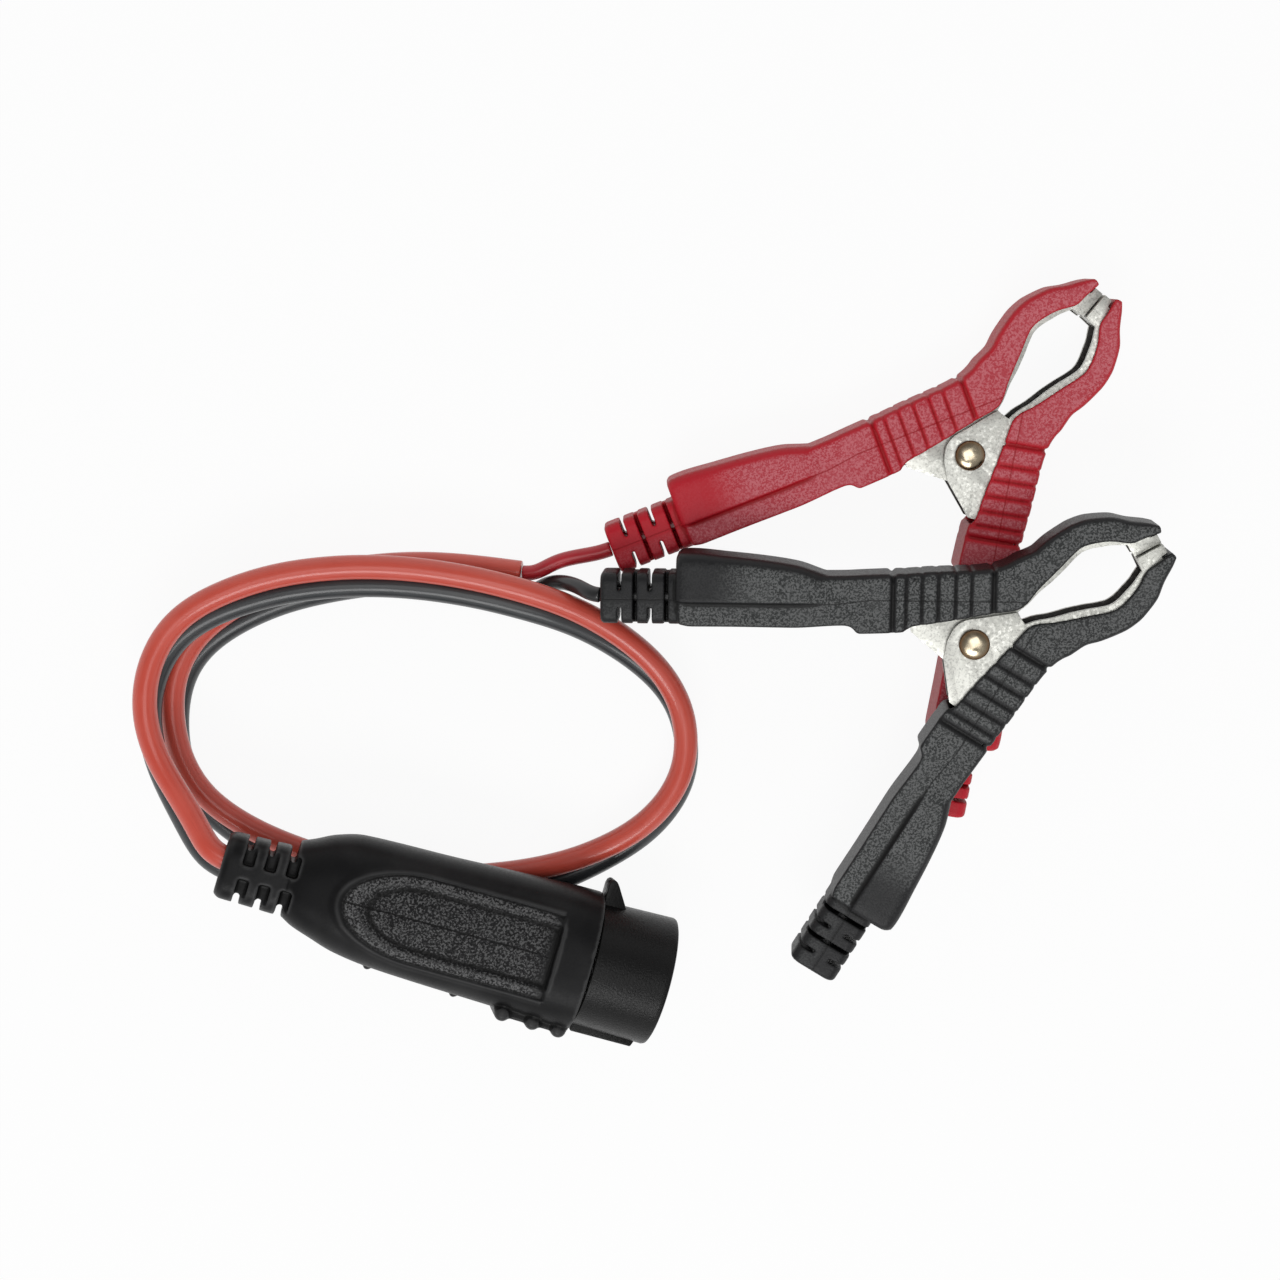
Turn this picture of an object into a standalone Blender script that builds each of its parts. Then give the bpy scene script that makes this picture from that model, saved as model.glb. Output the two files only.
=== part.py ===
"""Battery charger clamp lead: a two-pole plug, a looped twin cable and two sprung clamps.

World frame: +X to the right of the layout, +Y away, +Z up from the table. Sizes in millimetres.
Each clamp half is drawn on its handle line: s runs back along the handle from the rivet,
o runs outward from the handle line. The plug's own x runs along its axis, 0 at the open end.
"""
import math

import bmesh
import bpy
from mathutils import Matrix, Vector

MM = 0.001

# Clearances
FIT_GAP = 0.3
WIRE_GAP = 0.3

# Clamp handle and jaw sleeve
UPPER, LOWER = 1, -1
HANDLE_ANGLE = math.radians(29.5)
SLEEVE_HALF = 5.5
SLEEVE_WALL = 1.2
SLEEVE_EDGE = 1.4
SLEEVE_INNER_EDGE = 0.5
HANDLE_END = 56.7
HANDLE_FLOOR = 4.6
CHANNEL_START = 13.0
CHANNEL_BACK = 31.0
CHANNEL_STEP = 0.2
MOUTH_OVERCUT = 1.2
TIP_WALL = 1.0
GROOVE_DEPTH = 0.5
THIN_GROOVE = 0.6
WIDE_GROOVE = 1.1
THIN_GROOVES = (13.2, 10.2, 7.1, 3.8, 0.8)
WIDE_GROOVES = (15.7, -3.4)

# Thumb pod on each handle
POD_HALF = 6.3
POD_SEAM = 7.5
POD_EDGE = 2.4

# Strain relief of each clamp half
RELIEF_HALF = 5.0
RELIEF_EDGE = 2.0
RELIEF_END = 71.9
RELIEF_ROOT = 1.5
RELIEF_CHAMFER = 0.7
RELIEF_AXIS = 8.0
RELIEF_SPINE = 3.1
RELIEF_SLOT = 0.7
RELIEF_EDGE_SLOTS = (62.3, 68.2)
RELIEF_FACE_SLOTS = (59.1, 65.2)

# Pressed steel jaws
SHEET = 1.0
JAW_HALF = 3.7
JAW_BACK = 24.7
JAW_PROUD = 0.5
EAR_RADIUS = 4.9
EAR_FRONT = ((10.2, 1.3), (10.0, -1.5))
EAR_TURNS = (-62, -84, -106, -128)
EAR_REAR = ((-4.3, -2.9), (-6.5, -0.25), (-9.5, 7.7))
NOSE_BACK = 34.4
NOSE_FRONT = 40.0
NOSE_HALF = 1.9

# Rivet
SHANK_RADIUS = 1.7
HEAD_RADIUS = 2.95
HEAD_RISE = 1.4

# Torsion spring
SPRING_WIRE = 0.8
SPRING_RADIUS = 2.6
SPRING_PITCH = 1.42
SPRING_WINDS = 1
SPRING_LEG = 17.0
CURL_POINTS = 9

# Crimped lug in the wired handle
CRIMP_WALL = 0.5
CRIMP_START = 25.6
CRIMP_END = 30.4
LUG_START = 19.0
LUG_HALF = 2.0
LUG_SUNK = 0.3

# Cable
SHEATH_DIAMETER = 4.8
SHEATH_STEP = 13.0
SHEATH_LEAD = 3.3
WIRE_DIAMETER = 3.0
WIRE_STEP = 3.4
WIRE_LEAD = 2.6

# Plug
PLUG_LENGTH = 90.5
JOINT_X = -16.0
SHROUD_RADIUS = 13.0
SHROUD_NECK = 12.6
SHROUD_WALL = 1.8
SHROUD_FLOOR = 2.0
ROUND_SIDES = 32
INSERT_DEPTH = 9.0
CONTACT_OFFSET = 5.2
CONTACT_REACH = 2.5
PIN_RADIUS = 1.5
SOCKET_RADIUS = 2.75
SOCKET_BORE = 1.6
SOCKET_DEPTH = 8.0
HOOK_PEAK = 17.4
HOOK_HALF = 3.0
HOOK_LENGTH = 4.7
RAIL_PEAK = 14.1
RAIL_HALF = 1.2
RECESS_DEPTH = 1.6
RECESS_BACK = -66.5
RECESS_FRONT = -23.0
RECESS_HALF = 8.8
RIDGE_RADIUS = 1.6
RIDGE_HALF = 6.5
PLUG_RELIEF_DEPTH = 2.2
PLUG_RELIEF_SLOTS = (-85.0, -80.5)
PLUG_RELIEF_SLOT = 1.1
CORE_LENGTH = 24.0

# Where the pieces lie in the layout
LAYOUT_X = 8.755
LAYOUT_Y = -5.333
RED_YAW = math.radians(50.9)
BLACK_YAW = math.radians(29.4)
BLACK_TILT = math.radians(-4.0)
RED_PIVOT = (64.4, 37.3, POD_HALF)
BLACK_PIVOT = (64.3, 2.4, 20.9)
PLUG_YAW = math.radians(-17.5)
PLUG_PITCH = math.radians(5.6)
PLUG_ROLL = -math.tau / ROUND_SIDES
PLUG_MOUTH = (3.8, -68.8)
PAIR_ROLL_SIDE = 3.0

# Handle section in (s, inner o, outer o), and jaw sections as inner point and outer point (s, o)
HANDLE_SECTIONS = (
    (HANDLE_END, 3.2, 13.1),
    (54.5, 2.8, 13.0),
    (46.0, 2.85, 12.9),
    (35.0, 2.8, 12.85),
    (25.0, 3.35, 12.95),
    (23.7, 3.1, 13.0),
    (22.2, 1.8, 13.1),
    (17.5, 1.95, 13.35),
    (13.8, 2.2, 13.5),
    (12.0, 3.3, 13.6),
    (8.6, 3.85, 13.9),
    (5.4, 4.4, 14.05),
    (2.2, 4.95, 14.2),
    (-1.0, 5.6, 14.4),
    (-4.2, 6.1, 14.95),
)
JAW_SECTIONS = (
    ((-4.6, 6.2), (-4.4, 15.0)),
    ((-8.0, 6.8), (-6.4, 15.8)),
    ((-9.4, 7.7), (-7.8, 16.7)),
    ((-11.7, 10.6), (-9.2, 17.3)),
    ((-14.1, 13.2), (-10.9, 18.1)),
    ((-16.2, 15.4), (-13.0, 20.0)),
    ((-18.0, 17.4), (-15.6, 21.9)),
    ((-19.7, 18.9), (-17.9, 23.3)),
    ((-22.0, 19.7), (-21.3, 24.4)),
    ((-25.3, 20.1), (-25.2, 24.7)),
    ((-28.8, 19.8), (-28.9, 23.9)),
    ((-31.6, 21.6), (-31.9, 23.4)),
    ((-34.3, 21.9), (-34.0, 22.8)),
)
# Pod sections: s, outer o, half thickness
POD_SECTIONS = (
    (26.5, 12.4, 5.1),
    (29.5, 13.4, 5.75),
    (33.5, 14.7, 6.15),
    (40.0, 15.7, POD_HALF),
    (47.0, 16.4, POD_HALF),
    (54.5, 17.0, POD_HALF),
    (56.4, 16.9, 6.1),
    (57.2, 16.2, 5.6),
)
# Plug body sections: x, half width on the hook side, half width on the ridge side, half thickness
PLUG_SECTIONS = (
    (-76.7, 8.3, 6.9, 7.2),
    (-74.3, 9.3, 8.2, 8.0),
    (-70.4, 11.2, 9.5, 8.8),
    (-65.0, 12.6, 11.1, 9.7),
    (-58.0, 12.9, 12.1, 10.2),
    (-48.0, 13.1, 12.7, 10.3),
    (-38.0, 13.5, 13.1, 10.5),
    (-28.0, 13.9, 13.5, 10.8),
    (-20.5, 14.2, 13.9, 12.0),
    (JOINT_X, 14.2, 14.0, 13.0),
)
# Strain relief of the plug: x, half width, half thickness
PLUG_RELIEF_SECTIONS = (
    (-PLUG_LENGTH, 5.8, 5.9),
    (-89.3, 6.6, 6.4),
    (-84.0, 6.7, 6.6),
    (-78.0, 6.9, 6.8),
    (-73.0, 7.0, 6.9),
)
FINGER_RIDGES = ((-29.6, 13.6), (-23.3, 13.75), (-17.9, 13.9))
# Route of the twin cable: x and y of the red sheath, height of the black one, and its offset to the right
CABLE_ROUTE = (
    (-86.6, -36.2, 17.9, -2.9),
    (-91.2, -29.0, 15.4, -2.6),
    (-95.6, -21.0, 13.2, -1.5),
    (-97.4, -11.5, 12.0, 0.0),
    (-95.3, -1.3, 11.8, 1.5),
    (-89.0, 7.0, 11.8, 3.0),
    (-75.5, 13.1, 11.6, 3.8),
    (-61.3, 15.6, 11.3, 4.0),
    (-46.9, 15.6, 10.9, 4.0),
    (-32.4, 13.5, 10.6, 3.9),
    (-20.6, 10.3, 9.8, 3.8),
    (-12.6, 7.1, 8.0, 3.5),
    (-5.2, 2.6, 5.8, 3.1),
    (2.3, -3.7, 3.9, 2.5),
    (7.8, -11.8, 2.6, 1.2),
    (9.5, -21.2, 2.45, -0.1),
    (7.3, -30.0, 2.45, -1.5),
    (0.4, -38.2, 2.45, -2.4),
    (-10.0, -44.0, 2.45, -3.2),
    (-19.5, -47.2, 2.45, -4.3),
    (-29.0, -49.3, 2.45, -5.09),
    (-42.0, -50.0, 2.45, -5.09),
    (-55.0, -48.5, 2.45, -5.05),
    (-67.5, -44.3, 2.45, -4.7),
    (-78.4, -39.2, 2.45, -3.7),
    (-87.6, -32.4, 2.45, -2.8),
    (-92.4, -24.0, 2.45, -1.4),
    (-93.9, -14.0, 2.45, 0.1),
    (-92.6, -5.5, 2.45, 1.4),
    (-87.0, 2.7, 2.45, 2.9),
    (-75.4, 9.7, 2.45, 3.7),
    (-62.8, 13.4, 2.45, 4.0),
    (-47.8, 15.3, 2.45, 4.0),
    (-35.8, 15.0, 2.7, 4.0),
)
# Where each sheath ends, and the points its thin wire passes on the way to its clamp
SHEATH_ENDS = ((-23.6, 13.7, 7.1), (-24.0, 9.3, 3.9))
WIRE_ROUTES = (
    ((-16.5, 16.0, 7.3), (-10.5, 17.2, 6.8)),
    ((-19.8, 10.7, 5.0), (-16.5, 12.0, 8.0), (-13.2, 12.1, 12.0), (-10.4, 11.2, 14.8)),
)
PAIR_SPACING = SHEATH_DIAMETER + FIT_GAP

# Linear colours with roughness and metallic
CRIMSON = ((0.56, 0.012, 0.028), 0.5, 0.0)
CHARCOAL = ((0.022, 0.022, 0.024), 0.55, 0.0)
SOFT_BLACK = ((0.009, 0.009, 0.009), 0.5, 0.0)
GLOSS_BLACK = ((0.012, 0.012, 0.012), 0.35, 0.0)
CABLE_RED = ((0.62, 0.09, 0.065), 0.4, 0.0)
CABLE_BLACK = ((0.03, 0.033, 0.034), 0.4, 0.0)
ZINC = ((0.62, 0.6, 0.55), 0.32, 1.0)
BRASS = ((0.68, 0.52, 0.3), 0.25, 1.0)
SPRING_STEEL = ((0.45, 0.45, 0.44), 0.3, 1.0)
TINNED = ((0.7, 0.68, 0.64), 0.3, 1.0)


def clear_scene():
    for item in list(bpy.data.objects):
        bpy.data.objects.remove(item, do_unlink=True)


def make_material(name, look):
    colour, roughness, metallic = look
    material = bpy.data.materials.new(name)
    material.use_nodes = True
    shader = material.node_tree.nodes["Principled BSDF"]
    shader.inputs["Base Color"].default_value = (*colour, 1.0)
    shader.inputs["Roughness"].default_value = roughness
    shader.inputs["Metallic"].default_value = metallic
    material.diffuse_color = (*colour, 1.0)
    return material


def add_object(name, mesh_builder):
    """Turn a bmesh in millimetres into an object in metres, faces outward."""
    bmesh.ops.recalc_face_normals(mesh_builder, faces=mesh_builder.faces)
    bmesh.ops.scale(mesh_builder, vec=(MM, MM, MM), verts=mesh_builder.verts)
    mesh = bpy.data.meshes.new(name)
    mesh_builder.to_mesh(mesh)
    mesh_builder.free()
    item = bpy.data.objects.new(name, mesh)
    bpy.context.scene.collection.objects.link(item)
    return item


def loft(name, rings):
    """Skin a closed body over rings of equal point count, with flat ends."""
    builder = bmesh.new()
    rows = [[builder.verts.new(point) for point in ring] for ring in rings]
    count = len(rows[0])
    for near, far in zip(rows, rows[1:]):
        for i in range(count):
            j = (i + 1) % count
            builder.faces.new((near[i], near[j], far[j], far[i]))
    builder.faces.new(reversed(rows[0]))
    builder.faces.new(rows[-1])
    return add_object(name, builder)


def prism(name, outline, low, high):
    """Extrude a flat outline from z low to z high."""
    builder = bmesh.new()
    base = builder.faces.new([builder.verts.new((x, y, low)) for x, y in outline])
    raised = bmesh.ops.extrude_face_region(builder, geom=[base])["geom"]
    tops = [item for item in raised if isinstance(item, bmesh.types.BMVert)]
    bmesh.ops.translate(builder, vec=(0, 0, high - low), verts=tops)
    return add_object(name, builder)


def turned(name, profile, sides, matrix=None):
    """Revolve (radius, height) points about z, ends closed flat, then place by the matrix."""
    rings = []
    for radius, height in profile:
        ring = []
        for step in range(sides):
            angle = math.tau * step / sides
            ring.append(Vector((radius * math.cos(angle), radius * math.sin(angle), height)))
        rings.append(ring)
    if matrix:
        rings = [[matrix @ point for point in ring] for ring in rings]
    return loft(name, rings)


def box(name, low, high):
    corners = ((low[0], low[1]), (high[0], low[1]), (high[0], high[1]), (low[0], high[1]))
    return prism(name, corners, low[2], high[2])


def combine(target, tool, operation):
    """Apply an exact Boolean and drop the tool."""
    modifier = target.modifiers.new("shape", "BOOLEAN")
    modifier.object = tool
    modifier.operation = operation
    modifier.solver = "EXACT"
    graph = bpy.context.evaluated_depsgraph_get()
    shaped = bpy.data.meshes.new_from_object(target.evaluated_get(graph))
    target.modifiers.clear()
    old = target.data
    target.data = shaped
    bpy.data.meshes.remove(old)
    bpy.data.objects.remove(tool, do_unlink=True)


def join(target, tool):
    combine(target, tool, "UNION")


def cut(target, tool):
    combine(target, tool, "DIFFERENCE")


def dress(item, name, look, smooth_angle=None):
    """Name the piece and give it its material and shading."""
    item.name = name
    item.data.name = name
    item.data.materials.clear()
    item.data.materials.append(make_material(name, look))
    if smooth_angle:
        item.data.shade_smooth()
        item.data.set_sharp_from_angle(angle=math.radians(smooth_angle))
    return item


def handle_point(s, o, side=1):
    """Clamp plane point from the handle line's own coordinates, mirrored for the lower half."""
    x = -s * math.cos(HANDLE_ANGLE) + o * math.sin(HANDLE_ANGLE)
    y = s * math.sin(HANDLE_ANGLE) + o * math.cos(HANDLE_ANGLE)
    return Vector((x, side * y))


def between(value, knots, column):
    """Linear reading of one column of a table sorted by falling first value."""
    for near, far in zip(knots, knots[1:]):
        if far[0] <= value <= near[0]:
            share = (near[0] - value) / (near[0] - far[0])
            return near[column] + share * (far[column] - near[column])
    raise ValueError(value)


def handle_section(s):
    inner = between(s, HANDLE_SECTIONS, 1)
    outer = between(s, HANDLE_SECTIONS, 2)
    return (s, inner), (s, outer)


def section_ring(inner, outer, low, high, outer_edge, inner_edge, side):
    """Rounded section across the sleeve between an inner and an outer point."""
    start = handle_point(*inner, side)
    reach = handle_point(*outer, side) - start
    width = reach.length
    along = reach / width
    round_out = min(outer_edge, 0.42 * width)
    round_in = min(inner_edge, 0.25 * width)
    nick = (1 - math.sqrt(0.5)) * round_out
    offsets = (
        (0.0, low + round_in),
        (round_in, low),
        (width - round_out, low),
        (width - nick, low + nick),
        (width, low + round_out),
        (width, high - round_out),
        (width - nick, high - nick),
        (width - round_out, high),
        (round_in, high),
        (0.0, high - round_in),
    )
    ring = []
    for across, z in offsets:
        point = start + along * across
        ring.append(Vector((point.x, point.y, z)))
    return ring


def grip_stations():
    """Handle stations with the grip's grooves let in: s and depth of the groove there."""
    stations = {row[0]: 0.0 for row in HANDLE_SECTIONS}
    for grooves, width in ((THIN_GROOVES, THIN_GROOVE), (WIDE_GROOVES, WIDE_GROOVE)):
        for centre in grooves:
            near = [s for s in stations if abs(s - centre) < width]
            for s in near:
                del stations[s]
            stations[centre - width / 2] = 0.0
            stations[centre] = GROOVE_DEPTH
            stations[centre + width / 2] = 0.0
    return sorted(stations.items(), reverse=True)


def sleeve_stations():
    """Inner point, outer point and groove depth of each section from the tail to the tip."""
    stations = []
    for s, depth in grip_stations():
        inner, outer = handle_section(s)
        stations.append((inner, (s, outer[1] - depth), depth))
    return stations + [(inner, outer, 0.0) for inner, outer in JAW_SECTIONS]


def sleeve_body(side):
    rings = []
    for inner, outer, depth in sleeve_stations():
        half = SLEEVE_HALF - depth
        rings.append(section_ring(inner, outer, -half, half, SLEEVE_EDGE, SLEEVE_INNER_EDGE, side))
    return loft("sleeve", rings)


def pod_body(side):
    rings = []
    for s, outer, half in POD_SECTIONS:
        seam = (s, POD_SEAM)
        rings.append(section_ring(seam, (s, outer), -half, half, POD_EDGE, SLEEVE_INNER_EDGE, side))
    return loft("pod", rings)


def relief_ring(s, half, side):
    """Square section with three-point round corners about the strain relief's axis."""
    ring = []
    inset = half - RELIEF_EDGE
    for across, up, first in ((1, 1, 0), (-1, 1, 90), (-1, -1, 180), (1, -1, 270)):
        for turn in (0, 45, 90):
            angle = math.radians(first + turn)
            u = across * inset + RELIEF_EDGE * math.cos(angle)
            z = up * inset + RELIEF_EDGE * math.sin(angle)
            point = handle_point(s, RELIEF_AXIS + u, side)
            ring.append(Vector((point.x, point.y, z)))
    return ring


def relief_body(side):
    stations = (
        (HANDLE_END - RELIEF_ROOT, RELIEF_HALF),
        (RELIEF_END - RELIEF_CHAMFER, RELIEF_HALF),
        (RELIEF_END, RELIEF_HALF - RELIEF_CHAMFER),
    )
    return loft("relief", [relief_ring(s, half, side) for s, half in stations])


def handle_box(s_low, s_high, o_low, o_high, z_low, z_high, side):
    """Box along the handle line."""
    corners = ((s_low, o_low), (s_high, o_low), (s_high, o_high), (s_low, o_high))
    outline = [handle_point(s, o, side) for s, o in corners]
    return prism("cutter", outline, z_low, z_high)


def relief_slot(s, across, heights, side):
    """Cutter for one slot: its reach across the strain relief's axis and its heights."""
    low, high = s - RELIEF_SLOT / 2, s + RELIEF_SLOT / 2
    return handle_box(low, high, RELIEF_AXIS + across[0], RELIEF_AXIS + across[1], *heights, side)


def cut_relief_slots(sleeve, side):
    spine = RELIEF_SPINE / 2
    reach = RELIEF_HALF + 1.0
    for s in RELIEF_EDGE_SLOTS:
        for near, far in ((spine, reach), (-reach, -spine)):
            cut(sleeve, relief_slot(s, (near, far), (-reach, reach), side))
    for s in RELIEF_FACE_SLOTS:
        for near, far in ((spine, reach), (-reach, -spine)):
            cut(sleeve, relief_slot(s, (-reach, reach), (near, far), side))


def handle_bore(radius, s_low, s_high, sides, side):
    """Round bar along the strain relief's axis, for the wire's bore and barrel."""
    rings = []
    for s in (s_low, s_high):
        ring = []
        for step in range(sides):
            angle = math.tau * (step + 0.5) / sides
            point = handle_point(s, RELIEF_AXIS + radius * math.cos(angle), side)
            ring.append(Vector((point.x, point.y, radius * math.sin(angle))))
        rings.append(ring)
    return loft("bar", rings)


def jaw_shift(side):
    """The halves nest with their sheets side by side: upper one back, lower one forward."""
    return -side * (SHEET + FIT_GAP) / 2


def pulled_in(outer, inner, depth):
    """Point on a section at a depth below its outer point."""
    start, end = Vector(outer), Vector(inner)
    return tuple(start + (end - start).normalized() * depth)


def jaw_channel(side):
    """Hollow for the steel jaw: closed under the handle, open along the mouth."""
    low = -JAW_HALF - FIT_GAP + jaw_shift(side)
    high = JAW_HALF + FIT_GAP + jaw_shift(side)
    sections = []
    for s in (CHANNEL_BACK, 25.0, CHANNEL_START + CHANNEL_STEP):
        sections.append(((s, HANDLE_FLOOR), (s, between(s, HANDLE_SECTIONS, 2) - SLEEVE_WALL)))
    for s in (CHANNEL_START, 8.0, 3.0, -1.0):
        inner, outer = handle_section(s)
        sections.append(((s, inner[1] - MOUTH_OVERCUT), (s, outer[1] - SLEEVE_WALL)))
    for inner, outer in JAW_SECTIONS[:-1]:
        beyond = pulled_in(outer, inner, math.dist(inner, outer) + MOUTH_OVERCUT)
        sections.append((beyond, pulled_in(outer, inner, SLEEVE_WALL)))
    (inner_s, inner_o), (outer_s, outer_o) = JAW_SECTIONS[-1]
    beyond = (inner_s + TIP_WALL, inner_o - MOUTH_OVERCUT)
    sections.append((beyond, (outer_s + TIP_WALL, outer_o - SLEEVE_WALL / 2)))
    rings = []
    for inner, outer in sections:
        (near_x, near_y), (far_x, far_y) = handle_point(*inner, side), handle_point(*outer, side)
        corners = ((near_x, near_y, low), (far_x, far_y, low), (far_x, far_y, high), (near_x, near_y, high))
        rings.append([Vector(corner) for corner in corners])
    return loft("cutter", rings)


def make_sleeve(name, side, look):
    sleeve = sleeve_body(side)
    join(sleeve, pod_body(side))
    join(sleeve, relief_body(side))
    cut(sleeve, jaw_channel(side))
    cut(sleeve, handle_bore(WIRE_DIAMETER / 2 + WIRE_GAP, CHANNEL_BACK - 1.0, RELIEF_END + 2.0, 12, side))
    cut_relief_slots(sleeve, side)
    return dress(sleeve, name, look, 35)


def web_chain(depth):
    """Points of the jaw's web at a depth below the sleeve's outer edge, tail to tip."""
    chain = []
    for s in (20.0, 12.0, 4.0, -1.0):
        inner, outer = handle_section(s)
        chain.append(pulled_in(outer, inner, depth))
    for inner, outer in JAW_SECTIONS[:-2]:
        chain.append(pulled_in(outer, inner, depth))
    return chain


def mouth_chain():
    """Edge of the jaw's flange along the mouth, tip to nip, just proud of the sleeve."""
    chain = []
    for inner, outer in reversed(JAW_SECTIONS[2:-2]):
        chain.append(pulled_in(outer, inner, math.dist(inner, outer) + JAW_PROUD))
    return chain


def jaw_outline(side):
    """Side view of the pressed jaw: nose, mouth edge, ear round the rivet, tail and web."""
    outline = [(NOSE_FRONT, FIT_GAP / 2), (NOSE_BACK, FIT_GAP / 2)]
    outline += [tuple(handle_point(*point)) for point in mouth_chain()]
    outline += EAR_FRONT
    for degrees in EAR_TURNS:
        angle = math.radians(degrees)
        outline.append((EAR_RADIUS * math.cos(angle), EAR_RADIUS * math.sin(angle)))
    outline += EAR_REAR
    floor = HANDLE_FLOOR + FIT_GAP
    outline.append(tuple(handle_point(CHANNEL_START - 0.6, floor)))
    outline.append(tuple(handle_point(JAW_BACK, floor)))
    depth = SLEEVE_WALL + FIT_GAP
    back_outer = between(JAW_BACK, HANDLE_SECTIONS, 2) - depth
    outline.append(tuple(handle_point(JAW_BACK, back_outer)))
    outline += [tuple(handle_point(*point)) for point in web_chain(depth)]
    tip_inner, tip_outer = JAW_SECTIONS[-2]
    outline.append(tuple(handle_point(*pulled_in(tip_outer, tip_inner, depth))))
    outline.append(tuple(handle_point(tip_inner[0] - 1.1, tip_inner[1] - 0.1)))
    outline.append((NOSE_FRONT, NOSE_HALF))
    return [(x, side * y) for x, y in outline]


def jaw_pocket(side):
    """Space between the jaw's flanges, open to the mouth and the tail."""
    depth = SLEEVE_WALL + FIT_GAP + SHEET
    tail = JAW_BACK + 1.0
    points = [(tail, between(tail, HANDLE_SECTIONS, 2) - depth)] + web_chain(depth)[:-1]
    outline = [tuple(handle_point(*point)) for point in points]
    outline += [(NOSE_BACK + 0.2, 4.6), (NOSE_BACK + 0.2, -7.0), (-7.5, -7.0)]
    outline.append(tuple(handle_point(tail, 0.5)))
    low = -JAW_HALF + SHEET + jaw_shift(side)
    high = JAW_HALF - SHEET + jaw_shift(side)
    return prism("cutter", [(x, side * y) for x, y in outline], low, high)


def make_jaw(name, side):
    low = -JAW_HALF + jaw_shift(side)
    high = JAW_HALF + jaw_shift(side)
    jaw = prism(name, jaw_outline(side), low, high)
    cut(jaw, jaw_pocket(side))
    hole = SHANK_RADIUS + FIT_GAP
    cut(jaw, turned("cutter", [(hole, low - 1), (hole, high + 1)], 16))
    return dress(jaw, name, ZINC, 35)


def make_rivet(name):
    """Rivet with a low dome outside each pair of ears."""
    under = JAW_HALF + (SHEET + FIT_GAP) / 2 + FIT_GAP
    dome = [(HEAD_RADIUS, under), (HEAD_RADIUS, under + 0.25 * HEAD_RISE)]
    for degrees in (30, 52, 72):
        angle = math.radians(degrees)
        dome.append((HEAD_RADIUS * math.cos(angle), under + HEAD_RISE * (0.25 + 0.75 * math.sin(angle))))
    profile = [(radius, -height) for radius, height in reversed(dome)]
    profile += [(SHANK_RADIUS, -under), (SHANK_RADIUS, under)]
    profile += dome
    return dress(turned(name, profile, 20), name, BRASS, 35)


def spring_path():
    """Points of the torsion spring: leg in the upper handle, coil, leg in the lower handle."""
    web = between(SPRING_LEG, HANDLE_SECTIONS, 2) - SLEEVE_WALL - FIT_GAP - SHEET
    end = handle_point(SPRING_LEG, web - SPRING_WIRE / 2 - FIT_GAP)
    reach = end.length
    bearing = math.atan2(end.y, end.x)
    start_angle = bearing + math.acos(SPRING_RADIUS / reach)
    end_angle = math.tau * (SPRING_WINDS + 1) - start_angle
    turn = end_angle - start_angle
    height = SPRING_PITCH * turn / math.tau
    count = round(CURL_POINTS * turn / math.tau)
    coil = []
    for step in range(count + 1):
        share = step / count
        angle = start_angle + turn * share
        point = Vector((math.cos(angle), math.sin(angle), 0)) * SPRING_RADIUS
        point.z = (share - 0.5) * height
        coil.append(point)
    upper_end = Vector((end.x, end.y, -height / 2))
    lower_end = Vector((end.x, -end.y, height / 2))
    upper_leg = [upper_end.lerp(coil[0], share) for share in (0.0, 0.33, 0.66)]
    lower_leg = [coil[-1].lerp(lower_end, share) for share in (0.34, 0.67, 1.0)]
    return upper_leg + coil + lower_leg


def least_gap(points, diameter, skip):
    """Least space between parts of one wire that are at least skip points apart, on dense points."""
    dense = []
    for a, b in zip(points, points[1:]):
        dense += [a.lerp(b, share / 6) for share in range(6)]
    least = math.inf
    for i, point in enumerate(dense):
        for other in dense[i + skip * 6:]:
            least = min(least, (point - other).length)
    return least - diameter


def make_tube(name, points, diameter, resolution, look):
    """Round tube on a poly spline with filled ends."""
    curve = bpy.data.curves.new(name, "CURVE")
    curve.dimensions = "3D"
    curve.bevel_depth = diameter / 2 * MM
    curve.bevel_resolution = resolution
    curve.use_fill_caps = True
    spline = curve.splines.new("POLY")
    spline.points.add(len(points) - 1)
    for target, point in zip(spline.points, points):
        target.co = (*(point * MM), 1.0)
    spline.use_smooth = True
    curve.materials.append(make_material(name, look))
    item = bpy.data.objects.new(name, curve)
    bpy.context.scene.collection.objects.link(item)
    return item


def make_spring(name):
    points = spring_path()
    gap = least_gap(points, SPRING_WIRE, CURL_POINTS // 2)
    print(f"{name}: least gap of the wire to itself {gap:.2f} mm")
    return make_tube(name, points, SPRING_WIRE, 1, SPRING_STEEL)


def make_crimp(name):
    """Barrel crimped on the wire, with a flat lug against the jaw's web."""
    bore = WIRE_DIAMETER / 2 + WIRE_GAP
    crimp = handle_bore(bore + CRIMP_WALL, CRIMP_START, CRIMP_END, 12, UPPER)
    web = between(LUG_START, HANDLE_SECTIONS, 2) - SLEEVE_WALL - FIT_GAP - SHEET
    lug_low = RELIEF_AXIS + bore - LUG_SUNK
    lug_high = web - 2 * FIT_GAP
    join(crimp, handle_box(LUG_START, CRIMP_END - 1.0, lug_low, lug_high, -LUG_HALF, LUG_HALF, UPPER))
    cut(crimp, handle_bore(bore, LUG_START - 1.0, CRIMP_END + 1.0, 12, UPPER))
    return dress(crimp, name, TINNED, 35)


def make_inner_wire(name, look):
    wire = handle_bore(WIRE_DIAMETER / 2, CRIMP_START - 1.0, RELIEF_END, 12, UPPER)
    return dress(wire, name, look, 35)


def layout_point(point):
    """Point of the layout measured from the middle of the whole set."""
    return Vector((point[0] - LAYOUT_X, point[1] - LAYOUT_Y, point[2]))


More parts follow.
